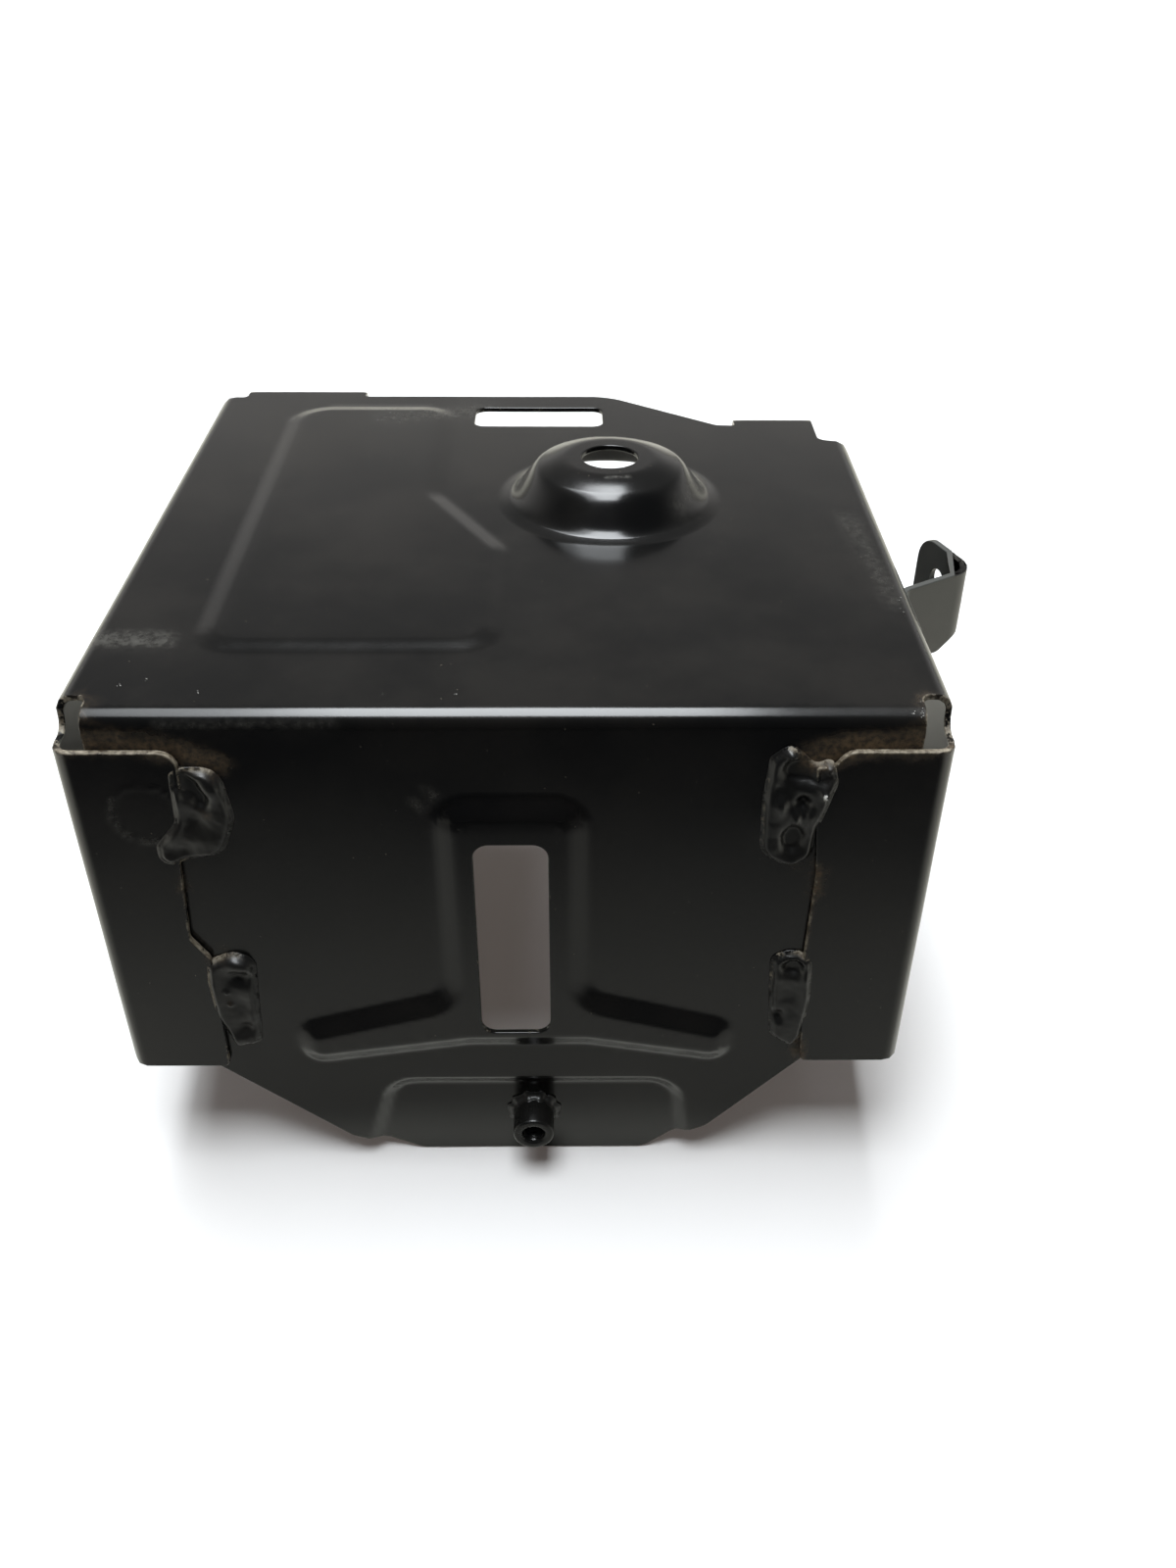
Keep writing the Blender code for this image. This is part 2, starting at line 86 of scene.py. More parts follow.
# Rise of the embossed forms and width of their slopes, within a few millimetres of the CAD source's
PLATEAU_RISE, PLATEAU_SLOPE = 1.1, 8.0
RIB_RISE, RIB_SLOPE = 3.0, 9.0
TAB_SLOPE = 7.0
DOME_CENTRE = (30.5, 135.3)
DOME_HOLE = 9.5
DOME_STEPS = [(1.8, 38.5, 29.0), (8.2, 34.0, 23.8), (4.5, 32.0, 14.0)]   # rise, outer and inner radius
DOME_FOOT = DOME_STEPS[0][1]
DOME_WALL = 0.8             # how far the dome's inner side lies within its outer side, besides the sheet

BOSS_CENTRE = (5.1, -156.2)
BOSS_RADIUS, BOSS_BORE, BOSS_END, BOSS_WELD_LEG = 6.5, 3.35, -8.2, 2.6

HOOK_SHEET, HOOK_TOP, HOOK_BOTTOM, HOOK_END_BOTTOM = 2.2, -8.2, -36.0, -32.0
HOOK_TAPER = (45.0, 51.0)
HOOK_HOLE, HOOK_HOLE_INSET, HOOK_HOLE_HEIGHT = 3.6, 12.0, -20.0
HOOK_CORNER, HOOK_LOWER_CORNER = 8.0, 5.0
HOOK_PATH = [(121.5, 58.0, 0.0), (121.5, 84.3, 5.0), (147.1, 99.2, 8.0), (136.9, 125.3, 0.0)]
HOOK_WELD_Y, HOOK_WELD_LENGTH, HOOK_WELD_RADIUS = 71.0, 18.0, 1.9

# Fineness of the visible surfaces
GRID = 4.0                  # point spacing on the flat stretches
FINE_GRID = 1.5             # on the slopes of the embossed forms and near the welds
EDGE_SPACING = 2.4
EDGE_ROUND = 0.4            # radius of the cut edges under their paint
EDGE_TURNS = [30.0, 60.0, 90.0, 90.0, 60.0, 30.0]      # degrees, round the edge from face to face
EDGE_CLEAR = 1.1            # no inner point is closer to a cut edge than this
FOLD_ROWS = 12
FOLD_SPACING = 3.0          # along a fold
RING_SPACING = 0.75         # between the rings of points on the dome
PROBE = 0.05                # step to either side for finding the direction of a face

low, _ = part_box("carrier_pressing")
ORIGIN = Vector((low.x + HALF_WIDTH * MM, low.y + RIB_RISE * MM, low.z - TAB_BOTTOM * MM))


def place_of(points):
    """Design millimetres, one point or many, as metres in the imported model's frame."""
    return np.asarray(points, float) * MM + np.array(ORIGIN)


# ---------------- flat outlines

def rounded(corners, steps=8):
    """Closed outline through (x, y, radius) corners, with each radius as an arc."""
    outline = []
    for i, (x, y, radius) in enumerate(corners):
        here = Vector((x, y))
        before = (Vector(corners[i - 1][:2]) - here).normalized()
        after = (Vector(corners[(i + 1) % len(corners)][:2]) - here).normalized()
        if radius == 0:
            outline.append(here)
            continue
        half = before.angle(after) / 2
        centre = here + (before + after).normalized() * radius / math.sin(half)
        start = here + before * radius / math.tan(half) - centre
        turn = before.angle_signed(after)
        sweep = math.copysign(math.pi - 2 * half, turn)
        for k in range(steps + 1):
            angle = sweep * k / steps
            spoke = Vector((start.x * math.cos(angle) - start.y * math.sin(angle),
                            start.x * math.sin(angle) + start.y * math.cos(angle)))
            outline.append(centre + spoke)
    return np.array([tuple(point) for point in outline])


def circle(centre, radius, steps=72):
    turn = np.linspace(0.0, 2 * math.pi, steps, endpoint=False)
    return np.stack((centre[0] + radius * np.cos(turn), centre[1] + radius * np.sin(turn)), axis=1)


def divided(outline, spacing):
    """The outline with its long sides cut into equal steps."""
    points = []
    for a, b in zip(outline, np.roll(outline, -1, axis=0)):
        count = max(1, math.ceil(np.linalg.norm(b - a) / spacing))
        points += [a + (b - a) * k / count for k in range(count)]
    return np.array(points)


def side_directions(loop):
    """For each point of a loop, the direction to the right of its travel, longer where the loop turns."""
    ahead = np.roll(loop, -1, axis=0) - loop
    ahead /= np.linalg.norm(ahead, axis=1)[:, None]
    right = np.stack((ahead[:, 1], -ahead[:, 0]), axis=1)
    both = right + np.roll(right, 1, axis=0)
    both /= np.linalg.norm(both, axis=1)[:, None]
    lean = np.maximum(np.sum(both * right, axis=1), 0.6)
    return both / lean[:, None]


def area_of(loop):
    ahead = np.roll(loop, -1, axis=0)
    return 0.5 * np.sum(loop[:, 0] * ahead[:, 1] - ahead[:, 0] * loop[:, 1])


def shrunk(loop, distance):
    """The loop moved inwards by a small distance, or outwards if the distance is negative."""
    inwards = -1.0 if area_of(loop) > 0 else 1.0
    return loop + side_directions(loop) * distance * inwards


def inside(outline, points):
    hits = np.zeros(len(points), bool)
    for a, b in zip(outline, np.roll(outline, -1, axis=0)):
        if a[1] == b[1]:
            continue
        spans = (a[1] > points[:, 1]) != (b[1] > points[:, 1])
        hits ^= spans & (points[:, 0] < a[0] + (points[:, 1] - a[1]) * (b[0] - a[0]) / (b[1] - a[1]))
    return hits


def distance_to(outline, points):
    nearest = np.full(len(points), np.inf)
    for a, b in zip(outline, np.roll(outline, -1, axis=0)):
        edge = b - a
        share = np.clip((points - a) @ edge / (edge @ edge), 0.0, 1.0)
        nearest = np.minimum(nearest, np.linalg.norm(points - a - share[:, None] * edge, axis=1))
    return nearest


# ---------------- flat pattern of the blank

def flat_front(z):
    return FOLD - FOLD_LENGTH - (-z - FOLD)


def flat_wall(z):
    return WALL_LINE + FOLD_LENGTH + (-z - FOLD)


def flat_flange(x):
    return FLANGE_FOLD - FOLD_LENGTH - (WALL_LINE - x)


def flat_lip(edge, z):
    return edge + FOLD_LENGTH + (-z - FOLD)


def flange_corners(side, inner_edge):
    corners = [(side * flat_wall(FLANGE_TOP), RELIEF_DEPTH, 4.0)]
    corners += [(side * flat_wall(z), flat_flange(x), radius) for x, z, radius in inner_edge]
    return corners


LEFT_FLANGE_EDGE = [(86.5, FLANGE_TOP, 5.0), (87.0, -22.0, 2.0), (91.6, -48.0, 4.0), (93.4, -76.0, 3.0),
                    (88.6, -84.0, 3.0), (89.6, LEFT_BOTTOM, 2.0)]
RIGHT_FLANGE_EDGE = [(91.0, FLANGE_TOP, 5.0), (87.6, -15.2, 3.0), (82.8, -15.6, 1.0), (86.6, -54.0, 8.0),
                     (86.0, -84.0, 8.0), (89.2, RIGHT_BOTTOM, 2.0)]


def blank_outline():
    left_lip = flat_lip(LEFT_LIP_LINE, -LIP_DROP)
    right_lip = flat_lip(RIGHT_LIP_LINE, -LIP_DROP)
    tab_left = [(-32.5, flat_front(TAB_BOTTOM), 7.0), (-43.0, flat_front(-170.2), 5.0),
                (-55.0, flat_front(-165.7), 5.0), (-PANEL_HALF, flat_front(-116.7), 2.0)]
    left_corner = [(-PANEL_HALF, RELIEF_DEPTH, 3.0)]
    left_wall = flange_corners(-1, LEFT_FLANGE_EDGE) + [(-flat_wall(LEFT_BOTTOM), LEFT_REAR, 5.0)]
    rear = [(LEFT_LIP[0], LEFT_REAR, 2.0), (LEFT_LIP[0], left_lip, 6.0), (LEFT_LIP[1], left_lip, 6.0),
            (LEFT_LIP[1] + 0.5, REAR_EDGE, 1.5), (32.0, REAR_EDGE, 22.0), (72.5, 200.5, 5.0),
            (RIGHT_LIP[0], 200.0, 1.5), (RIGHT_LIP[0], right_lip, 5.0), (RIGHT_LIP[1], right_lip, 5.0),
            (RIGHT_LIP[1], 186.5, 3.5), (WALL_LINE, 185.0, 5.0)]
    right_wall = [(flat_wall(RIGHT_BOTTOM), RIGHT_REAR, 5.0)] + flange_corners(1, RIGHT_FLANGE_EDGE)[::-1]
    right_corner = [(PANEL_HALF, RELIEF_DEPTH, 3.0)]
    tab_right = [(PANEL_HALF, flat_front(-106.0), 2.0), (61.5, flat_front(-161.6), 7.0),
                 (52.5, flat_front(-166.0), 5.0), (41.5, flat_front(TAB_BOTTOM), 6.0)]
    return rounded(tab_left + left_corner + left_wall + rear + right_wall + right_corner + tab_right)


def front_slot():
    top, bottom = flat_front(-41.0), flat_front(-114.5)
    return rounded([(-10.0, top, 4.5), (-10.0, bottom, 4.5), (11.0, bottom, 4.5), (11.0, top, 4.5)])


def top_slot():
    return rounded([(-19.0, 199.0, 4.0), (29.5, 199.0, 4.0), (29.5, 217.8, 4.0), (-19.0, 217.8, 4.0)])


def plateau():
    return rounded([(-91.0, 31.0, 14.0), (-91.0, 219.5, 18.0), (-25.0, 219.5, 14.0), (-25.0, 137.0, 10.0),
                    (-1.0, 96.5, 14.0), (-1.0, 31.0, 14.0)])


def rib():
    corners = [(-22.5, -25.0, 12.0), (-22.5, -98.5, 7.0), (-69.5, -112.0, 9.5), (-69.0, -133.0, 9.5),
               (-14.0, -124.0, 20.0), (22.0, -124.0, 20.0), (70.0, -133.0, 9.5), (69.5, -111.5, 9.5),
               (24.0, -98.5, 7.0), (24.0, -25.0, 12.0)]
    return rounded([(x, flat_front(z), radius) for x, z, radius in corners])


def tab_recess():
    corners = [(-43.0, -137.0, 14.0), (-56.0, -190.0, 9.0), (59.5, -190.0, 9.0), (54.2, -137.0, 14.0)]
    return rounded([(x, flat_front(z), radius) for x, z, radius in corners])


FORMS = [(plateau(), PLATEAU_SLOPE, PLATEAU_RISE), (rib(), RIB_SLOPE, RIB_RISE),
         (tab_recess(), TAB_SLOPE, -TAB_DEPTH)]

ROUND_SHARE = 0.3           # how much of each slope its rounded foot takes, and its rounded crest


def slope_profile(share):
    """From 0 to 1, straight in the middle and rounded at both ends."""
    a = ROUND_SHARE
    t = np.clip(share, 0.0, 1.0)
    middle = (t - a / 2) / (1 - a)
    return np.where(t < a, t * t / (2 * a * (1 - a)),
                    np.where(t > 1 - a, 1 - (1 - t) ** 2 / (2 * a * (1 - a)), middle))


# Shallow marks left by handling and welding: middle in the flat blank, radius and depth
DENTS = [((-flat_wall(-60.0), 90.0), 55.0, -0.35), ((flat_wall(-70.0), 120.0), 60.0, -0.30),
         ((-60.0, 110.0), 60.0, 0.12), ((60.0, 60.0), 50.0, -0.15),
         ((-55.0, flat_front(-60.0)), 38.0, -0.20), ((55.0, flat_front(-65.0)), 40.0, -0.22),
         ((-78.0, flat_front(-25.0)), 14.0, 0.20), ((74.0, flat_front(-35.0)), 12.0, 0.18),
         ((-75.0, flat_front(-100.0)), 12.0, 0.16)]
CRATER_X, CRATER_Z, CRATER_RADIUS = -97.6, -30.5, 9.5       # ring left beside the upper left weld
CRATER = (-flat_wall(CRATER_Z), flat_flange(-CRATER_X))


def smooth(share):
    share = np.clip(share, 0.0, 1.0)
    return share * share * (3 - 2 * share)


def rise(points, dome_wall=0.0):
    """Height of the blank's outer face at points of the flat pattern."""
    from_dome = np.linalg.norm(points - np.array(DOME_CENTRE), axis=1) + dome_wall
    height = sum(step * smooth((foot - from_dome) / (foot - head)) for step, foot, head in DOME_STEPS)
    for outline, slope, depth in FORMS:
        near = inside(outline, points)
        if near.any():
            height[near] += depth * slope_profile(distance_to(outline, points[near]) / slope)
    for middle, radius, depth in DENTS:
        away = np.linalg.norm(points - np.array(middle), axis=1) / radius
        height += depth * np.exp(-2.5 * away * away)
    ring = np.linalg.norm(points - np.array(CRATER), axis=1)
    height += 0.07 * np.exp(-((ring - CRATER_RADIUS) / 0.9) ** 2)
    x, y = points[:, 0], points[:, 1]
    height += 0.035 * np.sin(x / 23.0 + 1.3) * np.sin(y / 19.0) + 0.02 * np.sin(x / 9.0 + y / 13.0)
    return height


# ---------------- folding

def fold(past, height):
    angle = np.clip(past / FOLD_LENGTH, 0.0, 1.0) * math.pi / 2
    beyond = np.maximum(past - FOLD_LENGTH, 0.0)
    return (FOLD + height) * np.sin(angle), (FOLD + height) * np.cos(angle) - FOLD - beyond


def folded(points, height):
    """Place points of the flat blank, at heights above its outer face, on the folded box."""
    x, y = points[:, 0], points[:, 1]
    place = np.stack((x, y, height), axis=1)
    wall = np.abs(x) > WALL_LINE
    flange = wall & (y < FLANGE_FOLD)
    along, rise_left = fold(FLANGE_FOLD - y[flange], height[flange])
    place[flange, 1] = FLANGE_FOLD - along
    place[flange, 2] = rise_left
    along, z = fold(np.abs(x[wall]) - WALL_LINE, place[wall, 2])
    place[wall, 0] = np.sign(x[wall]) * (WALL_LINE + along)
    place[wall, 2] = z
    front = ~wall & (y < FOLD)
    along, z = fold(FOLD - y[front], height[front])
    place[front, 1] = FOLD - along
    place[front, 2] = z
    lip_line = np.where(x > RIGHT_LIP[0] - 1.0, RIGHT_LIP_LINE, LEFT_LIP_LINE)
    lip = ~wall & (y > lip_line)
    along, z = fold((y - lip_line)[lip], height[lip])
    place[lip, 1] = lip_line[lip] + along
    place[lip, 2] = z
    return place


# ---------------- sheet with rounded cut edges

def lattice(box, across, down):
    xs = np.arange(box[0], box[1], across) + across / 2
    ys = np.arange(box[2], box[3], down) + down / 2
    return np.stack(np.meshgrid(xs, ys), axis=-1).reshape(-1, 2)


def fold_rows():
    """Points along every fold, in close rows, and the stretch of the blank that each set covers."""
    steps = np.linspace(0.0, FOLD_LENGTH, FOLD_ROWS + 1)
    deep = flat_wall(LEFT_BOTTOM)
    bands = [((-PANEL_HALF, PANEL_HALF), (FOLD - FOLD_LENGTH, FOLD), "x")]
    for (first, last), line in ((LEFT_LIP, LEFT_LIP_LINE), (RIGHT_LIP, RIGHT_LIP_LINE)):
        bands.append(((first, last), (line, line + FOLD_LENGTH), "x"))
    for side in (-1, 1):
        wall = sorted((side * WALL_LINE, side * (WALL_LINE + FOLD_LENGTH)))
        bands.append((wall, (FLANGE_FOLD, LEFT_REAR), "y"))
        reach = sorted((side * (WALL_LINE + FOLD_LENGTH), side * deep))
        bands.append((reach, (FLANGE_FOLD - FOLD_LENGTH, FLANGE_FOLD), "x"))
    rows = []
    for (x0, x1), (y0, y1), along in bands:
        if along == "x":
            grid = np.meshgrid(np.arange(x0, x1, FOLD_SPACING), y0 + steps)
        else:
            grid = np.meshgrid(x0 + steps, np.arange(y0, y1, FOLD_SPACING))
        rows.append(np.stack(grid, axis=-1).reshape(-1, 2))
    return np.concatenate(rows), bands


def filled(loops, points):
    """Triangles between loops (the first is the edge, the others holes), through the points as well."""
    corners, sides = [], []
    for loop in loops:
        first = len(corners)
        corners += [Vector(p) for p in loop]
        sides += [(first + k, first + (k + 1) % len(loop)) for k in range(len(loop))]
    corners += [Vector(p) for p in points]
    flat, _, triangles, *_ = delaunay_2d_cdt(corners, sides, [], 0, 1e-5)
    flat = np.array([tuple(p) for p in flat])
    faces = np.array([face for face in triangles if len(face) == 3])
    middle = flat[faces].mean(axis=1)
    kept = inside(loops[0], middle)
    for hole in loops[1:]:
        kept &= ~inside(hole, middle)
    faces = faces[kept]
    a, b, c = flat[faces[:, 0]], flat[faces[:, 1]], flat[faces[:, 2]]
    turn = (b[:, 0] - a[:, 0]) * (c[:, 1] - a[:, 1]) - (b[:, 1] - a[:, 1]) * (c[:, 0] - a[:, 0])
    faces[turn < 0] = faces[turn < 0][:, ::-1]
    used = np.unique(faces)
    place = np.full(len(flat), -1)
    place[used] = np.arange(len(used))
    return flat[used], place[faces]


def edge_loops(faces):
    """Ordered loops of point indices round the open edges, with the surface on the left."""
    sides = {}
    for face in faces.tolist():
        for k in range(3):
            sides[(face[k], face[(k + 1) % 3])] = True
    after = {a: b for a, b in sides if (b, a) not in sides}
    loops = []
    while after:
        start, here = next(iter(after.items()))
        loop = [start]
        del after[start]
        while here != start:
            loop.append(here)
            here = after.pop(here)
        loops.append(np.array(loop))
    return loops


def unit(vectors):
    return vectors / np.maximum(np.linalg.norm(vectors, axis=1), 1e-12)[:, None]


def sheet_piece(name, edge, holes, points, height_of, under_of, place, thickness):
    """A sheet between two faces, with rounded cut edges. Returns its object and its flat points."""
    loops = [shrunk(divided(edge, EDGE_SPACING), EDGE_ROUND)]
    loops += [shrunk(divided(hole, EDGE_SPACING), -EDGE_ROUND) for hole in holes]
    kept = inside(edge, points) & (distance_to(edge, points) > EDGE_CLEAR)
    for hole in holes:
        kept &= ~inside(hole, points) & (distance_to(hole, points) > EDGE_CLEAR)
    flat, faces = filled(loops, points[kept])

    def outer(at):
        return place(at, height_of(at))

    right, left = outer(flat + (PROBE, 0.0)), outer(flat - (PROBE, 0.0))
    ahead, back = outer(flat + (0.0, PROBE)), outer(flat - (0.0, PROBE))
    normals = unit(np.cross(right - left, ahead - back))
    heights = height_of(flat)
    spots = [place(flat, heights), place(flat, under_of(flat))]
    shades = [normals, -normals]
    flats = [flat, flat]
    count = len(flat)
    polygons = faces.tolist() + (faces[:, ::-1] + count).tolist()
    total = 2 * count
    for loop in edge_loops(faces):
        side = side_directions(flat[loop])
        rim = [loop]
        for k, degrees in enumerate(EDGE_TURNS):
            angle = math.radians(degrees)
            upper_half = k < len(EDGE_TURNS) // 2
            reach = flat[loop] + side * EDGE_ROUND * math.sin(angle)
            drop = EDGE_ROUND * (1 - math.cos(angle))
            depth = drop if upper_half else thickness - drop
            spots.append(place(reach, heights[loop] - depth))
            outwards = unit(place(flat[loop] + side * PROBE, heights[loop]) - spots[0][loop])
            upwards = normals[loop] if upper_half else -normals[loop]
            shades.append(unit(math.sin(angle) * outwards + math.cos(angle) * upwards))
            flats.append(reach)
            rim.append(np.arange(len(loop)) + total)
            total += len(loop)
        rim.append(loop + count)
        for upper, lower in zip(rim, rim[1:]):
            quads = np.stack((np.roll(upper, -1), upper, lower, np.roll(lower, -1)), axis=1)
            polygons += quads.tolist()
    mesh = bpy.data.meshes.new(name)
    mesh.from_pydata(place_of(np.concatenate(spots)).tolist(), [], polygons)
    mesh.polygons.foreach_set("use_smooth", [True] * len(mesh.polygons))
    mesh.normals_split_custom_set_from_vertices(np.concatenate(shades).tolist())
    mesh.update()
    piece = bpy.data.objects.new(name, mesh)
    bpy.context.scene.collection.objects.link(piece)
    return piece, np.concatenate(flats)


def add_mask(piece, name, values):
    mask = piece.data.attributes.new(name, "FLOAT", "POINT")
    mask.data.foreach_set("value", np.asarray(values, np.float32))


def patch_mask(places, patches):
    """How strongly soft-edged patches, each along a line between two places, cover the given places."""
    cover = np.zeros(len(places))
    for start, end, radius, strength in patches:
        a, b = np.array(start, float), np.array(end, float)
        line = b - a
        share = np.clip((places - a) @ line / max(line @ line, 1e-9), 0.0, 1.0)
        away = np.linalg.norm(places - a - share[:, None] * line, axis=1) / radius
        cover = np.maximum(cover, strength * np.exp(-away * away))
    return cover


def on_crater(angle):
    return CRATER_X + CRATER_RADIUS * math.cos(angle), -2, CRATER_Z + CRATER_RADIUS * math.sin(angle)


SPECKS = [(-97.0, 18.0), (-82.0, 11.0), (-103.5, 15.0), (-58.0, 10.7), (-33.0, 10.6), (-13.0, 10.6),
          (105.0, 19.0), (111.0, 6.0), (98.0, 6.0)]       # small chips on the top panel

# Marks on the paint: two ends of a line, how far it spreads, and how strong it is
RUST = [((-118, 0, -7.5), (-92, 0, -8.5), 4.0, 0.75), ((-92, 0, -9), (-76, 0, -15), 4.5, 0.7),
        ((90, 0, -9.5), (118, 0, -7.5), 4.0, 1.0), ((82, -1, -13), (90, -1, -10), 4.5, 1.0),
        ((-112, 4, -4), (-112, 9, -4), 5.0, 0.6), ((112, 4, -4), (112, 9, -4), 5.0, 0.6),
        ((86.5, -1, -50), (86.2, -1, -60), 2.6, 0.9), ((86.2, -1, -60), (86.2, -1, -84), 1.4, 0.8),
        ((-90, -1, -50), (-93, -1, -58), 2.4, 0.6), ((86, -1, -52), (80, -1, -51), 2.0, 0.8),
        ((87.5, -1, -121), (88.5, -1, -127), 3.0, 0.8), ((-88, -2, -84), (-84, 0, -83), 2.5, 0.5),
        ((-84, -3, -27), (-82, -3, -31), 2.4, 0.4), ((-85.5, -4, -100), (-85.2, -4, -106), 2.0, 0.6)]
# Lines along cut edges and round the weld toes, drawn as nearly continuous light lines: partly worn paint,
# partly a painted highlight
WORN_AND_HIGHLIT_EDGES = [((-118, -1, -10.4), (-90, -1, -10.4), 3.0, 0.9), ((-88, -1, -12), (-87, -1, -20), 3.0, 0.9),
         ((-91, -1, -47), (-93, -1, -78), 3.0, 0.75), ((-93, -1, -78), (-87, -1, -86), 3.5, 1.0),
         ((118, -1, -10.4), (90, -1, -10.4), 3.0, 0.9), ((90, -1, -12), (82, -1, -16), 3.0, 1.0),
         ((86, -1, -50), (86, -1, -84), 2.5, 0.8), ((-114, 6, -3), (-119, 6, -6), 8.0, 0.85),
         ((114, 6, -3), (119, 6, -6), 8.0, 0.85), ((-89, -1, -122), (-90, -1, -129), 3.0, 0.6),
         ((88, -1, -119), (89, -1, -128), 3.0, 0.7), ((-83, -2, -16.5), (-78, -2, -16.5), 2.5, 1.0),
         ((80, -2, -83.5), (87, -2, -83.5), 2.5, 1.0), ((77, -2, -88), (77, -2, -112), 2.0, 0.8),
         ((-90.5, -2, -88), (-90.5, -2, -104), 2.0, 1.0), ((-86, -2, -84), (-79, -2, -84), 2.0, 0.9),
         ((70, -2, -20), (70, -2, -44), 1.8, 0.6), ((76, -2, -9.5), (79, -2, -11), 1.8, 0.8)]
CHIPS_AND_GLINTS = [((x, y, 0), (x, y, 0), 1.7, 1.0) for x, y in SPECKS]
CHIPS_AND_GLINTS += [((104, 2, -1), (112, 2, -1), 2.0, 0.9), ((113, 45, 0), (115, 65, 0), 2.0, 0.8),
          ((-112, 6, -2), (-106, 3, -1.5), 2.5, 0.9), ((26, 126, 14.5), (36, 126.5, 14.5), 1.4, 0.9),
          # The light spot at x 77, z -10.6 on the upper right bead's hump is a painted highlight, not a
          # chip
          ((85.6, -5, -22.9), (85.8, -5, -24.2), 1.2, 1.6), ((77, -4, -10.6), (77.2, -4, -10.6), 1.2, 1.4),
          ((-85.7, -5, -97.2), (-85.7, -5, -97.4), 1.0, 1.6),
          ((-85.4, -5, -102.4), (-85.4, -5, -102.8), 0.9, 1.6),
          ((-23.5, 0, -110), (-22.5, 0, -108), 1.4, 0.9)]
SCUFFS = [((-115, 39.5, 0), (-98, 39.5, 0), 3.4, 1.0), ((52, 118, 4), (58, 130, 6), 4.0, 0.5),
          ((-90, 1.5, -3.5), (-45, 1.5, -3.5), 1.4, 0.6), ((-24, 0, -29), (-20, 0, -25.5), 1.6, 0.7),
          ((-50, 205, 0), (-20, 215, 0), 9.0, 0.4), ((109, 120, 0), (114, 60, 0), 3.0, 0.4),
          ((29, 119, 14), (36, 119.6, 14), 0.7, 1.3)]
SCUFFS += [(on_crater(start), on_crater(start + 0.4), 0.9, 0.9) for start in (2.6, 3.2, 3.6, 4.4, 4.9)]
DUST = [((-60, 0, -128), (60, 0, -128), 45.0, 0.2), ((-104, -2, -110), (-104, -2, -90), 40.0, 0.25),
        ((104, -2, -110), (104, -2, -90), 40.0, 0.15), ((-40, 3, -165), (45, 3, -165), 30.0, 0.2),
        ((-100, 200, 0), (100, 200, 0), 60.0, 0.25)]
PATCHES = {"rust": RUST, "worn_and_highlit_edge": WORN_AND_HIGHLIT_EDGES, "chips_and_glints": CHIPS_AND_GLINTS, "scuffs": SCUFFS, "dust": DUST}


def add_masks(piece, places, edge_distance):
    """Point values that tell the paint where it is worn or marked, and where it carries painted highlights:
    near a cut edge, and in each kind of patch.
    """
    add_mask(piece, "edge", edge_distance)
    for name, patches in PATCHES.items():
        add_mask(piece, name, patch_mask(places, patches))


def in_design(piece):
    """The piece's points in design millimetres."""
    points = np.zeros(len(piece.data.vertices) * 3)
    piece.data.vertices.foreach_get("co", points)
    return (points.reshape(-1, 3) - np.array(ORIGIN)) / MM


# ---------------- pressing

def pressing():
    edge = blank_outline()
    holes = [front_slot(), top_slot(), circle(DOME_CENTRE, DOME_HOLE)]
    deep = flat_wall(LEFT_BOTTOM)
    whole = (-deep, deep, flat_front(TAB_BOTTOM), flat_lip(LEFT_LIP_LINE, -LIP_DROP))
    rows, bands = fold_rows()
    coarse = lattice(whole, GRID, GRID)
    fine = lattice(whole, FINE_GRID, FINE_GRID)
    radii = np.arange(DOME_HOLE + 2.0, DOME_FOOT + 1.0, RING_SPACING)
    rings = [circle(DOME_CENTRE, radius, 120) for radius in radii]

    def under_side(points):
        return rise(points, DOME_WALL) - SHEET

    def off_folds(points):
        clear = np.ones(len(points), bool)
        for (x0, x1), (y0, y1), _ in bands:
            clear &= ~((points[:, 0] > x0 - 1) & (points[:, 0] < x1 + 1)
                       & (points[:, 1] > y0 - 1) & (points[:, 1] < y1 + 1))
        return clear & (np.linalg.norm(points - np.array(DOME_CENTRE), axis=1) > DOME_FOOT + 1.5)

    def on_detail(points):
        near = np.zeros(len(points), bool)
        for outline, slope, _ in FORMS:
            away = distance_to(outline, points)
            near |= (away < slope + 0.8) & (inside(outline, points) | (away < 0.8))
        near |= np.linalg.norm(points - np.array(CRATER), axis=1) < CRATER_RADIUS + 3.0
        for place in SPECKS:
            near |= np.linalg.norm(points - np.array(place), axis=1) < 5.0
        return near

    fine = fine[off_folds(fine)]
    fine = fine[on_detail(fine)]
    coarse = coarse[off_folds(coarse)]
    coarse = coarse[~on_detail(coarse)]
    points = np.concatenate([rows, coarse, fine] + rings)
    piece, flat = sheet_piece("carrier_pressing_skin", edge, holes, points, rise, under_side, folded, SHEET)
    away = distance_to(edge, flat)
    for hole in holes:
        away = np.minimum(away, distance_to(hole, flat))
    add_masks(piece, in_design(piece), away)
    return piece


# ---------------- hook

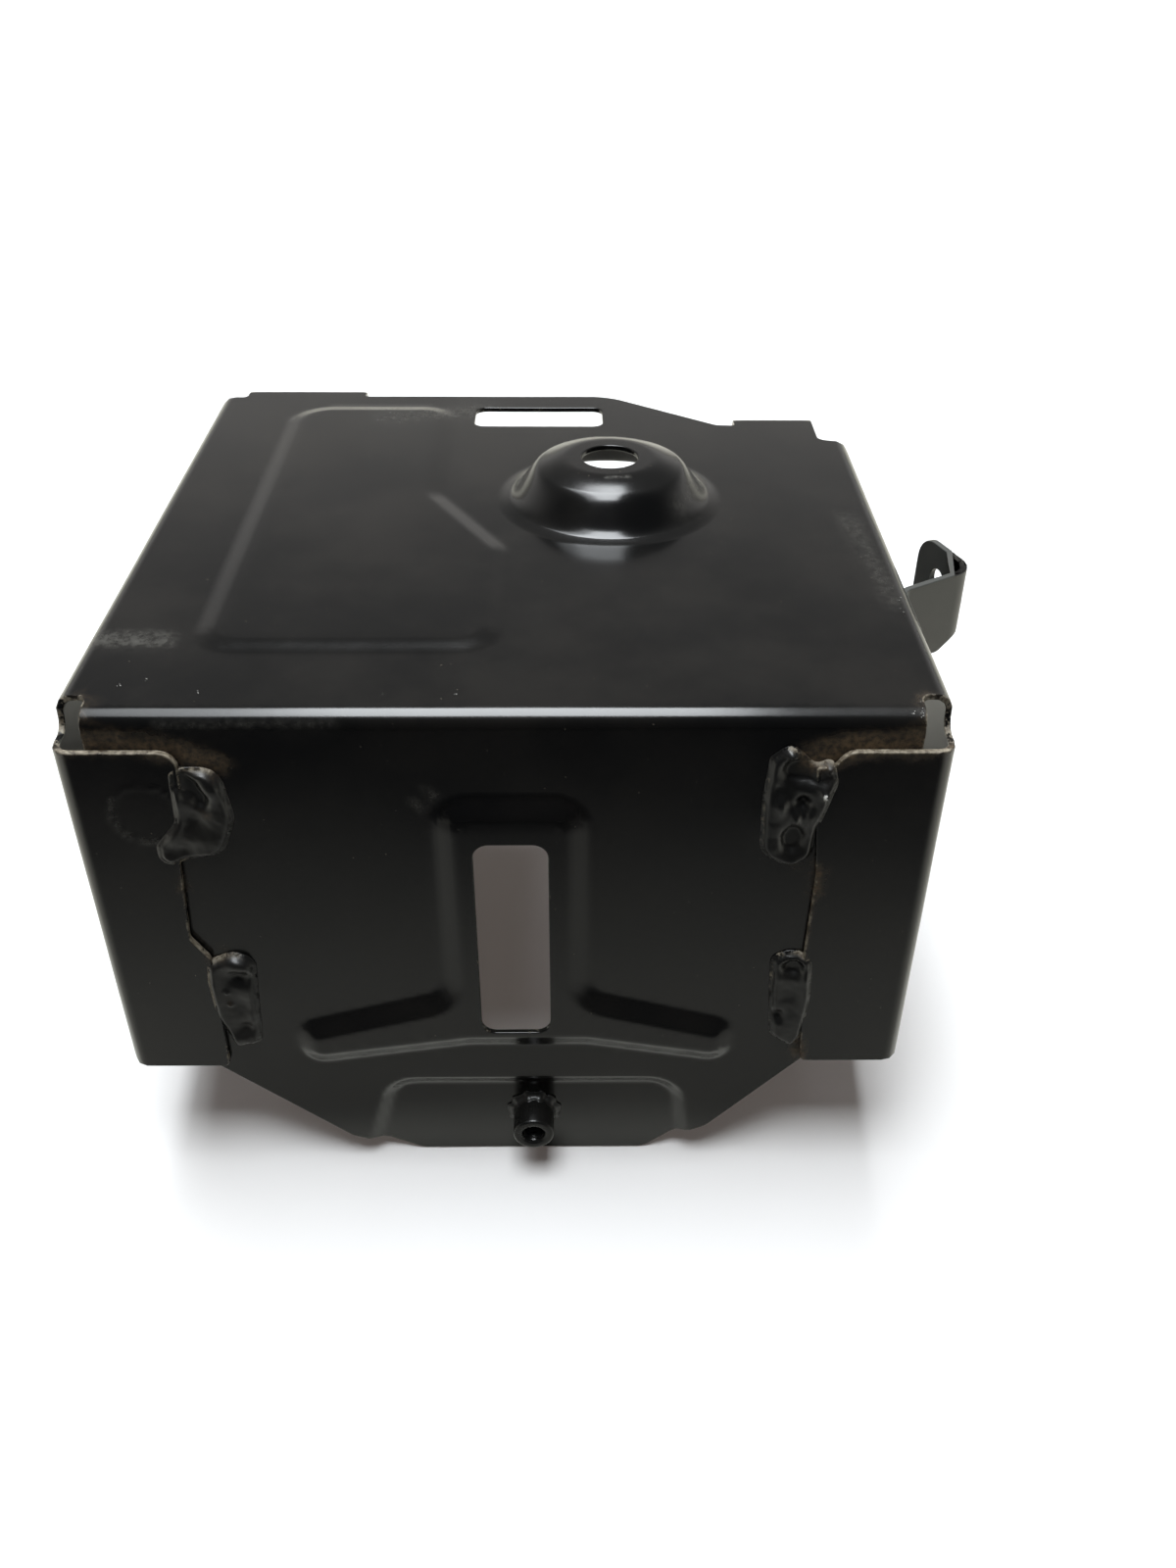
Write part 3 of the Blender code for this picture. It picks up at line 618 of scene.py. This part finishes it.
def hook():
    path = []
    for i, (x, y, radius) in enumerate(HOOK_PATH):
        if radius == 0:
            path.append((x, y))
            continue
        corner = rounded([(*HOOK_PATH[i - 1][:2], 0), (x, y, radius), (*HOOK_PATH[i + 1][:2], 0)], 14)
        path += [tuple(p) for p in corner[1:-1]]
    path = np.array(path)
    stations = np.concatenate(([0.0], np.cumsum(np.linalg.norm(np.diff(path, axis=0), axis=1))))
    length = stations[-1]
    ahead = unit(np.gradient(path, stations, axis=0))

    def bent(points, height):
        x = np.clip(points[:, 0], 0.0, length)
        middle = np.stack([np.interp(x, stations, path[:, k]) for k in (0, 1)], axis=1)
        along = unit(np.stack([np.interp(x, stations, ahead[:, k]) for k in (0, 1)], axis=1))
        middle += along * (points[:, 0] - x)[:, None]
        side = np.stack((along[:, 1], -along[:, 0]), axis=1)
        place = middle + side * height[:, None]
        return np.stack((place[:, 0], place[:, 1], points[:, 1]), axis=1)

    def face(points):
        return HOOK_SHEET / 2 + 0.05 * np.sin(points[:, 0] / 7.0) * np.sin(points[:, 1] / 6.0)

    def back(points):
        return face(points) - HOOK_SHEET

    edge = rounded([(0.0, HOOK_BOTTOM, 2.0), (HOOK_TAPER[0], HOOK_BOTTOM, 4.0),
                    (HOOK_TAPER[1], HOOK_END_BOTTOM, 8.0), (length, HOOK_END_BOTTOM, HOOK_LOWER_CORNER),
                    (length, HOOK_TOP, HOOK_CORNER), (0.0, HOOK_TOP, 2.0)])
    hole = circle((length - HOOK_HOLE_INSET, HOOK_HOLE_HEIGHT), HOOK_HOLE, 40)
    points = lattice((0.0, length, HOOK_BOTTOM, HOOK_TOP), 0.9, 1.6)
    piece, flat = sheet_piece("side_hook_strip", edge, [hole], points, face, back, bent, HOOK_SHEET)
    add_masks(piece, in_design(piece), np.minimum(distance_to(edge, flat), distance_to(hole, flat)))
    return piece


# ---------------- weld beads

BEAD_GRID = 0.6
BEAD_BODY = 2.5             # how far a bead stands above what it lies on
BEAD_TOE = 2.0              # width of its sloping rim
BEAD_LIP = 0.35             # the least that a bead stands up, in its cavities and at its rim
BEAD_HIGHEST = 5.8
UNMARKED = 9.0              # an edge distance at which the paint is whole


def closed_piece(name, points, polygons, edge_distance=UNMARKED):
    mesh = bpy.data.meshes.new(name)
    mesh.from_pydata(place_of(points).tolist(), [], polygons)
    mesh.polygons.foreach_set("use_smooth", [True] * len(mesh.polygons))
    mesh.update()
    piece = bpy.data.objects.new(name, mesh)
    bpy.context.scene.collection.objects.link(piece)
    add_masks(piece, in_design(piece), np.full(len(points), edge_distance))
    return piece


def ripple(x, z, seed, size):
    return noise.noise(Vector((x / size, z / size, seed)))


def bead(name, corners, top_face, lumps, seed):
    """A weld bead on the front. corners outline it in X and Z, and lumps are hollows and humps on it."""
    outline = divided(rounded(corners, 6), 0.7)
    (x0, z0), (x1, z1) = outline.min(axis=0), outline.max(axis=0)
    points = lattice((x0, x1, z0, z1), BEAD_GRID, BEAD_GRID)
    points = points[inside(outline, points)]
    points = points[distance_to(outline, points) > 0.3]
    flat, faces = filled([outline], points)
    away = distance_to(outline, flat)
    wander = np.array([ripple(x, z, seed, 5.0) + 0.5 * ripple(x, z, seed + 3, 2.0) for x, z in flat])
    body = BEAD_BODY * smooth(away / BEAD_TOE) + 0.22 * wander * smooth(away / 1.2)
    for middle, spread, depth in lumps:
        off = (flat - np.array(middle)) / np.array(spread)
        body += depth * smooth(away / 1.4) * np.exp(-np.sum(off ** 2, axis=1))
    under = np.array([top_face(x, z) for x, z in flat])
    height = np.clip(under + np.maximum(body, BEAD_LIP), 0.2, BEAD_HIGHEST)
    rim = edge_loops(faces)[0]
    skirt = np.arange(len(rim)) + len(flat)
    places = np.column_stack((flat[:, 0], -height, flat[:, 1]))
    foot = np.column_stack((flat[rim, 0], np.full(len(rim), 0.25), flat[rim, 1]))
    polygons = faces.tolist()
    polygons += np.stack((np.roll(rim, -1), rim, skirt, np.roll(skirt, -1)), axis=1).tolist()
    polygons.append(skirt[::-1].tolist())
    away = np.concatenate((away, away[rim]))
    # The bead's toe is passed as its edge, so the paint draws a light rim round it: a painted highlight
    return closed_piece(name, np.concatenate((places, foot)).tolist(), polygons, away * 0.6)


def flange_face(side, inner_edge):
    """How far out the surface under a bead stands: the flange's face beside its edge, then the panel's."""
    edge_z = [-z for _, z, _ in inner_edge]
    edge_x = [x for x, _, _ in inner_edge]

    def height(x, z):
        edge = np.interp(-z, edge_z, edge_x)
        return -FLANGE_FACE / (1 + math.exp(-(side * x - edge) / 0.8))
    return height


def welds():
    left, right = flange_face(-1, LEFT_FLANGE_EDGE), flange_face(1, RIGHT_FLANGE_EDGE)
    upper_left = [(-89.5, -16.0, 2.0), (-76.5, -16.2, 6.0), (-74.3, -33.0, 9.0), (-79.0, -45.5, 7.0),
                  (-97.0, -48.8, 4.0), (-96.8, -41.0, 3.0), (-90.3, -33.0, 5.0)]
    lower_left = [(-90.0, -86.0, 3.0), (-82.5, -82.6, 6.0), (-76.0, -85.5, 5.0), (-78.5, -120.5, 3.0),
                  (-86.8, -122.3, 2.0), (-90.3, -108.0, 8.0), (-90.8, -93.0, 4.0)]
    upper_right = [(70.4, -13.0, 3.0), (76.0, -8.4, 3.5), (83.0, -15.6, 2.5), (87.2, -12.6, 2.0),
                   (89.2, -20.0, 4.0), (85.3, -36.0, 10.0), (84.7, -47.0, 5.0), (78.5, -51.0, 6.0),
                   (70.0, -45.5, 7.0), (69.3, -28.0, 12.0)]
    lower_right = [(76.5, -85.5, 4.0), (82.5, -82.2, 6.0), (88.7, -85.0, 4.0), (89.6, -100.0, 12.0),
                   (88.6, -118.0, 5.0), (86.0, -123.5, 2.0), (78.6, -117.5, 5.0), (77.3, -100.0, 12.0)]
    return {
        "weld_upper_left": bead("weld_upper_left_bead", upper_left, left, [
            ((-88.0, -19.0), (2.6, 2.4), -4.4), ((-84.8, -22.0), (2.2, 2.4), -4.2),
            ((-82.6, -25.8), (1.7, 2.4), -3.6), ((-79.0, -21.5), (3.6, 4.0), 1.0),
            ((-85.5, -33.0), (4.0, 5.0), -1.3), ((-93.0, -43.0), (5.0, 5.0), -1.8),
            ((-84.0, -39.0), (6.0, 3.0), 0.4)], 1.0),
        "weld_lower_left": bead("weld_lower_left_bead", lower_left, left, [
            ((-81.5, -87.0), (4.0, 2.6), 1.2), ((-81.5, -92.0), (3.6, 2.8), -1.8),
            ((-85.7, -97.2), (0.8, 0.8), 0.9), ((-85.4, -102.6), (0.8, 0.8), 0.9),
            ((-82.5, -104.0), (3.0, 5.0), -0.8), ((-82.5, -113.0), (3.0, 2.6), -1.4),
            ((-88.5, -99.0), (1.2, 9.0), 0.7), ((-85.0, -117.5), (3.0, 2.0), 0.6)], 2.0),
        "weld_upper_right": bead("weld_upper_right_bead", upper_right, right, [
            ((78.6, -16.6), (3.6, 2.9), -5.2), ((83.8, -18.0), (3.0, 2.2), -4.6),
            ((78.6, -39.8), (2.6, 3.8), -4.6), ((76.6, -11.2), (2.6, 1.2), 1.4),
            ((85.8, -23.4), (0.9, 1.0), 1.7), ((74.4, -27.5), (1.6, 3.6), 1.2),
            ((78.6, -32.0), (1.4, 2.8), 1.4), ((82.5, -31.0), (1.2, 3.6), 1.2),
            ((80.4, -27.0), (2.0, 2.2), -1.8), ((74.5, -22.5), (2.6, 3.2), -0.9)], 3.0),
        "weld_lower_right": bead("weld_lower_right_bead", lower_right, right, [
            ((83.6, -88.6), (3.0, 2.6), -3.4), ((80.5, -108.4), (1.8, 2.2), -2.0),
            ((83.0, -99.0), (3.2, 4.5), -0.7), ((85.0, -112.0), (2.0, 4.0), 0.5)], 4.0),
    }


def hook_welds():
    """Short half-round beads along the top and the bottom edge of the hook's foot."""
    pieces = {}
    for name, edge, upwards in (("hook_weld_top", HOOK_TOP + GAP, 1.0),
                                ("hook_weld_bottom", HOOK_BOTTOM - GAP, -1.0)):
        around, along = 14, 60
        points, polygons = [], []
        for i in range(along + 1):
            share = i / along
            swell = math.sqrt(max(1 - (2 * share - 1) ** 6, 0.0))
            y = HOOK_WELD_Y + HOOK_WELD_LENGTH * (share - 0.5)
            for k in range(around):
                turn = (math.pi / 2) * k / (around - 1)
                radius = HOOK_WELD_RADIUS * swell * (0.9 + 0.1 * math.sin(share * 42.0)) + 0.02
                radius *= 1 + 0.08 * ripple(y, turn * 4, edge, 1.5)
                radius = min(radius, HOOK_WELD_RADIUS)
                out, up = radius * math.cos(turn), upwards * radius * math.sin(turn)
                points.append((HALF_WIDTH + out, y, edge + up))
            points.append((HALF_WIDTH - 0.1, y, edge - upwards * 0.1))
        ring = around + 1
        for i in range(along):
            for k in range(ring):
                a, b = i * ring + k, i * ring + (k + 1) % ring
                quad = (a, b, b + ring, a + ring)
                polygons.append(quad if upwards < 0 else quad[::-1])
        first = tuple(range(ring))
        last = tuple(range(along * ring, along * ring + ring))
        polygons += [first[::-1], last] if upwards < 0 else [first, last[::-1]]
        pieces[name] = closed_piece(name + "_bead", points, polygons)
    return pieces


# ---------------- threaded boss and its weld

THREAD_PITCH = 1.25
THREAD_DEPTH = 0.55


def lathe(name, profile, spokes, wobble):
    """A ring round the boss's axis: a closed (radius, forwards) profile, with a wobble on each point."""
    points, polygons = [], []
    count = len(profile)
    for k in range(spokes):
        turn = 2 * math.pi * k / spokes
        for i, (radius, forwards) in enumerate(profile):
            radius, forwards = wobble(i, radius, forwards, turn)
            points.append((BOSS_CENTRE[0] + radius * math.cos(turn), TAB_DEPTH - forwards,
                           BOSS_CENTRE[1] + radius * math.sin(turn)))
        n = (k + 1) % spokes
        for i in range(count):
            j = (i + 1) % count
            polygons.append((k * count + i, k * count + j, n * count + j, n * count + i))
    return closed_piece(name, points, polygons)


def boss():
    length = TAB_DEPTH - BOSS_END
    bore = [(BOSS_BORE, forwards) for forwards in np.arange(0.4, length - 0.8, 0.16)]
    chamfer = [(BOSS_BORE + 0.25, length - 0.6), (BOSS_BORE + 0.75, length - 0.12)]
    face = [(BOSS_BORE + 1.0, length), (BOSS_RADIUS - 1.0, length), (BOSS_RADIUS - 0.45, length - 0.12)]
    outside = [(BOSS_RADIUS - 0.12, length - 0.45), (BOSS_RADIUS, length - 0.9), (BOSS_RADIUS, 5.0),
               (BOSS_RADIUS, GAP), (BOSS_BORE, GAP)]
    profile = bore + chamfer + face + outside
    threaded = len(bore)

    def wobble(i, radius, forwards, turn):
        if i < threaded:
            phase = (forwards / THREAD_PITCH - turn / (2 * math.pi)) % 1.0
            fade = min(1.0, (length - forwards) / 1.6)
            radius += fade * THREAD_DEPTH * (1 - abs(2 * phase - 1))
        elif i > threaded + 1:
            radius += 0.04 * ripple(math.cos(turn) * 4, math.sin(turn) * 4, forwards, 1.0)
        return radius, forwards
    piece = lathe("threaded_boss_turned", profile, 96, wobble)
    piece.data.set_sharp_from_angle(angle=math.radians(50))
    return piece


def boss_weld():
    inner = BOSS_RADIUS + 0.05
    leg = BOSS_WELD_LEG
    arc = [(inner + leg * (1 - math.sin(t)), GAP + leg * (1 - math.cos(t)))
           for t in np.linspace(0.0, math.pi / 2, 10)]
    profile = [(inner - 0.3, GAP)] + arc[:-1] + [(inner, GAP + leg), (inner - 0.3, GAP + leg)]

    def wobble(i, radius, forwards, turn):
        swell = 0.78 + 0.16 * math.sin(turn * 11)
        swell += 0.25 * ripple(math.cos(turn) * 5, math.sin(turn) * 5, 7.0, 1.0)
        if 0 < i < len(profile) - 1:
            radius = inner + (radius - inner) * min(swell, 1.0)
            forwards = GAP + (forwards - GAP) * min(swell, 1.0)
        return radius, forwards
    return lathe("boss_weld_ring", profile[::-1], 120, wobble)


# ---------------- materials

class Nodes:
    """Short calls for building the nodes of one material, or of the world."""

    def __init__(self, owner, shader="Principled BSDF", space="Object"):
        owner.use_nodes = True
        self.tree = owner.node_tree
        self.shader = self.tree.nodes[shader]
        self.where = self.add("ShaderNodeTexCoord").outputs[space]

    def add(self, kind, **settings):
        node = self.tree.nodes.new(kind)
        for key, value in settings.items():
            setattr(node, key, value)
        return node

    def put(self, socket, value):
        if isinstance(value, bpy.types.NodeSocket):
            self.tree.links.new(value, socket)
        elif isinstance(value, tuple) and len(value) == 3 and socket.type == "RGBA":
            socket.default_value = (*value, 1.0)
        else:
            socket.default_value = value

    def noise(self, size_mm, detail=3.0, rough=0.55, warp=0.0):
        node = self.add("ShaderNodeTexNoise")
        self.put(node.inputs["Vector"], self.where)
        self.put(node.inputs["Scale"], 1.0 / (size_mm * MM))
        self.put(node.inputs["Detail"], detail)
        self.put(node.inputs["Roughness"], rough)
        self.put(node.inputs["Distortion"], warp)
        return node.outputs["Fac"]

    def split(self, vector):
        node = self.add("ShaderNodeSeparateXYZ")
        self.put(node.inputs[0], vector)
        return node.outputs

    def seen(self):
        """1 for what the viewer sees directly, and 0 for what surfaces mirror or are lit by."""
        return self.add("ShaderNodeLightPath").outputs["Is Camera Ray"]

    def mask(self, name):
        return self.add("ShaderNodeAttribute", attribute_name=name).outputs["Fac"]

    def maths(self, operation, a, b, clamp=False):
        node = self.add("ShaderNodeMath", operation=operation, use_clamp=clamp)
        self.put(node.inputs[0], a)
        self.put(node.inputs[1], b)
        return node.outputs[0]

    def step(self, value, start, end):
        """0 before start, 1 after end, smooth between."""
        node = self.add("ShaderNodeMapRange", interpolation_type="SMOOTHSTEP")
        self.put(node.inputs["Value"], value)
        self.put(node.inputs["From Min"], start)
        self.put(node.inputs["From Max"], end)
        return node.outputs["Result"]

    def span(self, value, low_value, high_value):
        """A 0 to 1 value stretched to run from low_value to high_value."""
        node = self.add("ShaderNodeMapRange")
        self.put(node.inputs["Value"], value)
        self.put(node.inputs["To Min"], low_value)
        self.put(node.inputs["To Max"], high_value)
        return node.outputs["Result"]

    def mix(self, share, a, b):
        node = self.add("ShaderNodeMix", data_type="RGBA")
        self.put(node.inputs["Factor"], share)
        self.put(node.inputs[6], a)
        self.put(node.inputs[7], b)
        return node.outputs[2]

    def blend(self, share, a, b):
        node = self.add("ShaderNodeMix", data_type="FLOAT")
        self.put(node.inputs["Factor"], share)
        self.put(node.inputs[2], a)
        self.put(node.inputs[3], b)
        return node.outputs[0]

    def bump(self, height, depth_mm, under=None):
        node = self.add("ShaderNodeBump")
        self.put(node.inputs["Height"], height)
        self.put(node.inputs["Distance"], depth_mm * MM)
        self.put(node.inputs["Strength"], 1.0)
        if under is not None:
            self.put(node.inputs["Normal"], under)
        return node.outputs["Normal"]


BLACK = ((0.0032, 0.0033, 0.0033), (0.0072, 0.0066, 0.0058))
WELD = ((0.0070, 0.0070, 0.0066), (0.0150, 0.0135, 0.0115))
GREY = ((0.058, 0.060, 0.056), (0.080, 0.077, 0.070))
DUST_COLOUR = (0.075, 0.074, 0.062)
DIRT_DARK = (0.030, 0.020, 0.012)
DIRT_LIGHT = (0.17, 0.112, 0.058)
TAN_DARK = (0.11, 0.085, 0.055)
TAN_LIGHT = (0.34, 0.30, 0.23)
SCUFF_COLOUR = (0.12, 0.115, 0.10)
CHIP_AND_GLINT_COLOUR = (0.55, 0.54, 0.50)


def worn_paint(name, tones=BLACK, gloss=0.15, dust=1.0, wear_and_highlight=1.0, peel=0.006):
    """Paint with dust, dirt, worn edges, scuffs and chips, guided by the pieces' masks. The light lines
    along cut edges and weld toes are partly a painted highlight, and one light spot on a weld bead is a
    painted highlight.
    """
    material = bpy.data.materials.new(name)
    n = Nodes(material)
    mottle = n.noise(42.0, 4.0, 0.6)
    grain = n.noise(0.55, 2.0)
    speck = n.noise(1.7, 3.0, 0.7)
    cloud = n.noise(9.0, 5.0, 0.65, 0.6)
    colour = n.mix(n.step(mottle, 0.35, 0.75), *tones)

    film = n.maths("MULTIPLY", n.mask("dust"), n.span(cloud, 0.25, 0.62))
    film = n.maths("MULTIPLY", film, dust * 0.42, clamp=True)
    colour = n.mix(film, colour, DUST_COLOUR)

    grains = n.step(n.noise(1.1, 1.0), 0.80, 0.84)
    colour = n.mix(n.maths("MULTIPLY", grains, 0.35), colour, TAN_LIGHT)

    scuffed = n.maths("MULTIPLY", n.mask("scuffs"), n.step(n.noise(2.2, 4.0, 0.7), 0.25, 0.80))
    colour = n.mix(n.maths("MULTIPLY", scuffed, 0.6), colour, SCUFF_COLOUR)

    spread = n.maths("MULTIPLY", n.span(cloud, -0.5, 0.5), 0.7)
    dirty = n.step(n.maths("ADD", n.mask("rust"), spread), 0.12, 0.95)
    dirt_colour = n.mix(n.step(speck, 0.30, 0.72), DIRT_DARK, DIRT_LIGHT)
    colour = n.mix(n.maths("MULTIPLY", dirty, 0.8), colour, dirt_colour)

    # Cut edges turn tan where worn; where the edge-line mask is high they run as nearly continuous light
    # lines, partly wear and partly a painted highlight along the edges and weld toes
    at_edge = n.maths("SUBTRACT", 1.0, n.step(n.mask("edge"), 0.15, 0.75))
    bare_and_highlit = n.maths("ADD", n.noise(3.5, 4.0, 0.7), n.maths("MULTIPLY", n.mask("worn_and_highlit_edge"), 0.30 * wear_and_highlight))
    worn_and_highlit = n.maths("MULTIPLY", at_edge, n.step(bare_and_highlit, 0.62, 0.76))
    tan = n.mix(n.step(speck, 0.3, 0.7), TAN_DARK, TAN_LIGHT)
    colour = n.mix(n.maths("MULTIPLY", worn_and_highlit, 0.8), colour, tan)

    # Chips flake to light grey; the same colour also paints one highlight on a weld bead
    flaking_and_glints = n.maths("ADD", n.noise(0.9, 2.0, 0.6), n.maths("MULTIPLY", n.mask("chips_and_glints"), 0.30))
    chipped_and_glinting = n.step(flaking_and_glints, 0.86, 0.90)
    colour = n.mix(n.maths("MULTIPLY", chipped_and_glinting, 0.85), colour, CHIP_AND_GLINT_COLOUR)
    n.put(n.shader.inputs["Base Color"], colour)

    rough = n.blend(n.step(mottle, 0.3, 0.7), gloss, gloss + 0.06)
    rough = n.maths("ADD", rough, n.maths("MULTIPLY", n.span(grain, -0.5, 0.5), 0.04))
    rough = n.blend(film, rough, 0.62)
    rough = n.blend(scuffed, rough, 0.55)
    rough = n.blend(dirty, rough, 0.75)
    rough = n.blend(n.maths("MAXIMUM", worn_and_highlit, chipped_and_glinting), rough, 0.6)
    n.put(n.shader.inputs["Roughness"], rough)

    relief = n.bump(n.noise(2.4, 3.0, 0.5), peel)
    relief = n.bump(n.maths("MULTIPLY", dirty, speck), 0.06, under=relief)
    relief = n.bump(n.maths("SUBTRACT", 1.0, n.maths("MAXIMUM", worn_and_highlit, chipped_and_glinting)), 0.05, under=relief)
    n.put(n.shader.inputs["Normal"], relief)
    n.put(n.shader.inputs["Specular IOR Level"], 0.5)
    n.put(n.shader.inputs["Metallic"], 0.0)
    return material


def finish_piece(piece, material, slot, *nodes):
    piece.data.materials.append(material)
    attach(piece, "root")
    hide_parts(*nodes)


def dress():
    paint = worn_paint("pressing_paint")
    weld_paint = worn_paint("weld_paint", WELD, gloss=0.31, dust=0.8, wear_and_highlight=1.1, peel=0.02)
    hook_paint = worn_paint("hook_paint", GREY, gloss=0.36, dust=0.9, wear_and_highlight=0.7)
    boss_paint = worn_paint("boss_paint", gloss=0.24, dust=0.9, wear_and_highlight=1.5, peel=0.02)
    finish_piece(pressing(), paint, "pressing_paint", "carrier_pressing")
    finish_piece(hook(), hook_paint, "hook_paint", "side_hook")
    for node, piece in {**welds(), **hook_welds()}.items():
        finish_piece(piece, weld_paint, "weld_paint", node)
    finish_piece(boss(), boss_paint, "boss_paint", "threaded_boss")
    finish_piece(boss_weld(), weld_paint, "weld_paint", "boss_weld")


# ---------------- floor, light and camera

MIRROR_FADE = (-0.36, -0.03)            # metres in front of the tab over which the mirrored floor fades
FOOT_FADE = (-0.030, -0.004)            # and the strip just before the tab, where it is brightest
SIDE_FADE = (0.06, 0.34)                # and how far out to the sides it grows bright again
MIRRORED_FAR = (0.022, 0.022, 0.024)
MIRRORED_NEAR = (0.30, 0.29, 0.26)
MIRRORED_FOOT = (0.80, 0.78, 0.70)
MIRRORED_SIDE = (0.72, 0.68, 0.58)
SHADE_LIFT = 0.06                       # light in the shadow under the carrier
SHADE_COLOUR = (1.0, 0.82, 0.72)
WHITE_FADE = (0.25, 1.0)                # squared distances over which the floor turns backdrop white
WHITE = (1.0, 1.0, 1.0)
FLOOR_SIZE = 14.0
FLOOR_GAP = 0.0004

HORIZON_TO_ZENITH = [(0.0, 0.9), (0.25, 0.62), (0.42, 0.30), (0.50, 0.22), (0.60, 0.17), (1.0, 0.20)]
FRONT_ROOM = (0.03, 0.03, 0.034)
BEHIND_FADE = (-0.35, 0.30)             # from the dark room in front to the bright one behind

LAMPS = [("ceiling_panel", -91.0, 0.82, 83.0), ("ceiling_side", -685.0, 0.37, 12.5)]   # x, width, watts
LAMP_Y, LAMP_Z, LAMP_LENGTH = 75.0, 2000.0, 2.15
LAMP_COLOUR = (0.93, 0.97, 1.0)

CAMERA_PLACE = (17.58, -297.82, 195.28)
CAMERA_PITCH, CAMERA_HEADING, CAMERA_ROLL = 36.114, 0.844, 0.397
CAMERA_LENS, CAMERA_SENSOR = 31.415, 36.0


def add_floor():
    """A pale floor under the tab's lower edge and the left wall's rear corner, on which the carrier leans.

    What the paint mirrors of it is a separate colour, a painted reflection: dark far in front, brighter
    near the carrier, brightest in a strip just before the tab and out to the sides. To the viewer it glows:
    white further out as a backdrop, and with a faint warm glow near the carrier, a painted light in its
    shadow.
    """
    front = Vector(place_of((0.0, TAB_DEPTH, TAB_BOTTOM)))
    rear = Vector(place_of((0.0, LEFT_REAR, LEFT_BOTTOM)))
    lean = math.atan2(rear.z - front.z, rear.y - front.y)
    bpy.ops.mesh.primitive_plane_add(size=FLOOR_SIZE, location=front - Vector((0.0, 0.0, FLOOR_GAP)),
                                     rotation=(lean, 0.0, 0.0))
    floor = bpy.context.object
    floor.name = "floor"
    material = bpy.data.materials.new("pale_floor")
    floor.data.materials.append(material)
    n = Nodes(material)
    tone = n.step(n.noise(260.0, 3.0), 0.3, 0.7)
    pale = n.mix(tone, (0.80, 0.79, 0.78), (0.84, 0.835, 0.83))
    x, y, _ = n.split(n.where)
    mirrored = n.mix(n.step(y, *MIRROR_FADE), MIRRORED_FAR, MIRRORED_NEAR)
    mirrored = n.mix(n.step(y, *FOOT_FADE), mirrored, MIRRORED_FOOT)
    aside = n.maths("ADD", n.maths("ABSOLUTE", x, 0.0), n.maths("MULTIPLY", y, 0.8))
    mirrored = n.mix(n.step(aside, *SIDE_FADE), mirrored, MIRRORED_SIDE)
    seen = n.seen()
    n.put(n.shader.inputs["Base Color"], n.mix(seen, mirrored, pale))
    far = n.step(n.maths("ADD", n.maths("MULTIPLY", x, x), n.maths("MULTIPLY", y, y)), *WHITE_FADE)
    n.put(n.shader.inputs["Emission Color"], n.mix(far, SHADE_COLOUR, WHITE))
    lift = n.maths("ADD", far, SHADE_LIFT)
    n.put(n.shader.inputs["Emission Strength"], n.maths("MULTIPLY", seen, lift))
    n.put(n.shader.inputs["Roughness"], 0.75)
    n.put(n.shader.inputs["Specular IOR Level"], 0.2)


def add_lamp(name, x, width, power):
    """A ceiling panel that shines straight down."""
    data = bpy.data.lights.new(name, "AREA")
    data.shape = "RECTANGLE"
    data.size = width
    data.size_y = LAMP_LENGTH
    data.energy = power
    data.color = LAMP_COLOUR
    lamp = bpy.data.objects.new(name, data)
    bpy.context.scene.collection.objects.link(lamp)
    lamp.location = place_of((x, LAMP_Y, LAMP_Z))


def add_world():
    """Soft grey surroundings: bright low down behind the carrier, dark in front. The backdrop is white."""
    world = bpy.data.worlds.new("studio")
    bpy.context.scene.world = world
    n = Nodes(world, "Background", "Generated")
    _, y, z = n.split(n.where)
    height = n.add("ShaderNodeValToRGB")
    n.put(height.inputs["Fac"], z)
    stops = height.color_ramp.elements
    stops[0].position, stops[1].position = 0.0, 1.0
    for position, level in HORIZON_TO_ZENITH:
        stop = stops.new(position) if 0.0 < position < 1.0 else stops[-1 if position else 0]
        stop.color = (level, level * 0.975, level * 0.95, 1.0)
    room = n.mix(n.step(y, *BEHIND_FADE), FRONT_ROOM, height.outputs["Color"])
    n.put(n.shader.inputs["Color"], n.mix(n.seen(), room, WHITE))


def add_camera():
    pitch, heading, roll = np.radians((CAMERA_PITCH, CAMERA_HEADING, CAMERA_ROLL))
    level = math.cos(pitch)
    look = Vector((math.sin(heading) * level, math.cos(heading) * level, -math.sin(pitch)))
    right = look.cross(Vector((0.0, 0.0, 1.0))).normalized()
    up = right.cross(look)
    tilted_right = right * math.cos(roll) + up * math.sin(roll)
    tilted_up = up * math.cos(roll) - right * math.sin(roll)
    data = bpy.data.cameras.new("camera")
    data.sensor_fit = "VERTICAL"
    data.sensor_width = CAMERA_SENSOR
    data.sensor_height = CAMERA_SENSOR
    data.lens = CAMERA_LENS
    data.clip_start = 0.01
    camera = bpy.data.objects.new("camera", data)
    bpy.context.scene.collection.objects.link(camera)
    matrix = camera.matrix_world.to_3x3()
    for row in range(3):
        matrix[row] = (tilted_right[row], tilted_up[row], -look[row])
    matrix = matrix.to_4x4()
    matrix.translation = Vector(place_of(CAMERA_PLACE))
    camera.matrix_world = matrix
    bpy.context.scene.camera = camera


dress()
add_floor()
add_world()
for lamp_values in LAMPS:
    add_lamp(*lamp_values)
add_camera()
bpy.context.scene.view_settings.view_transform = "Standard"
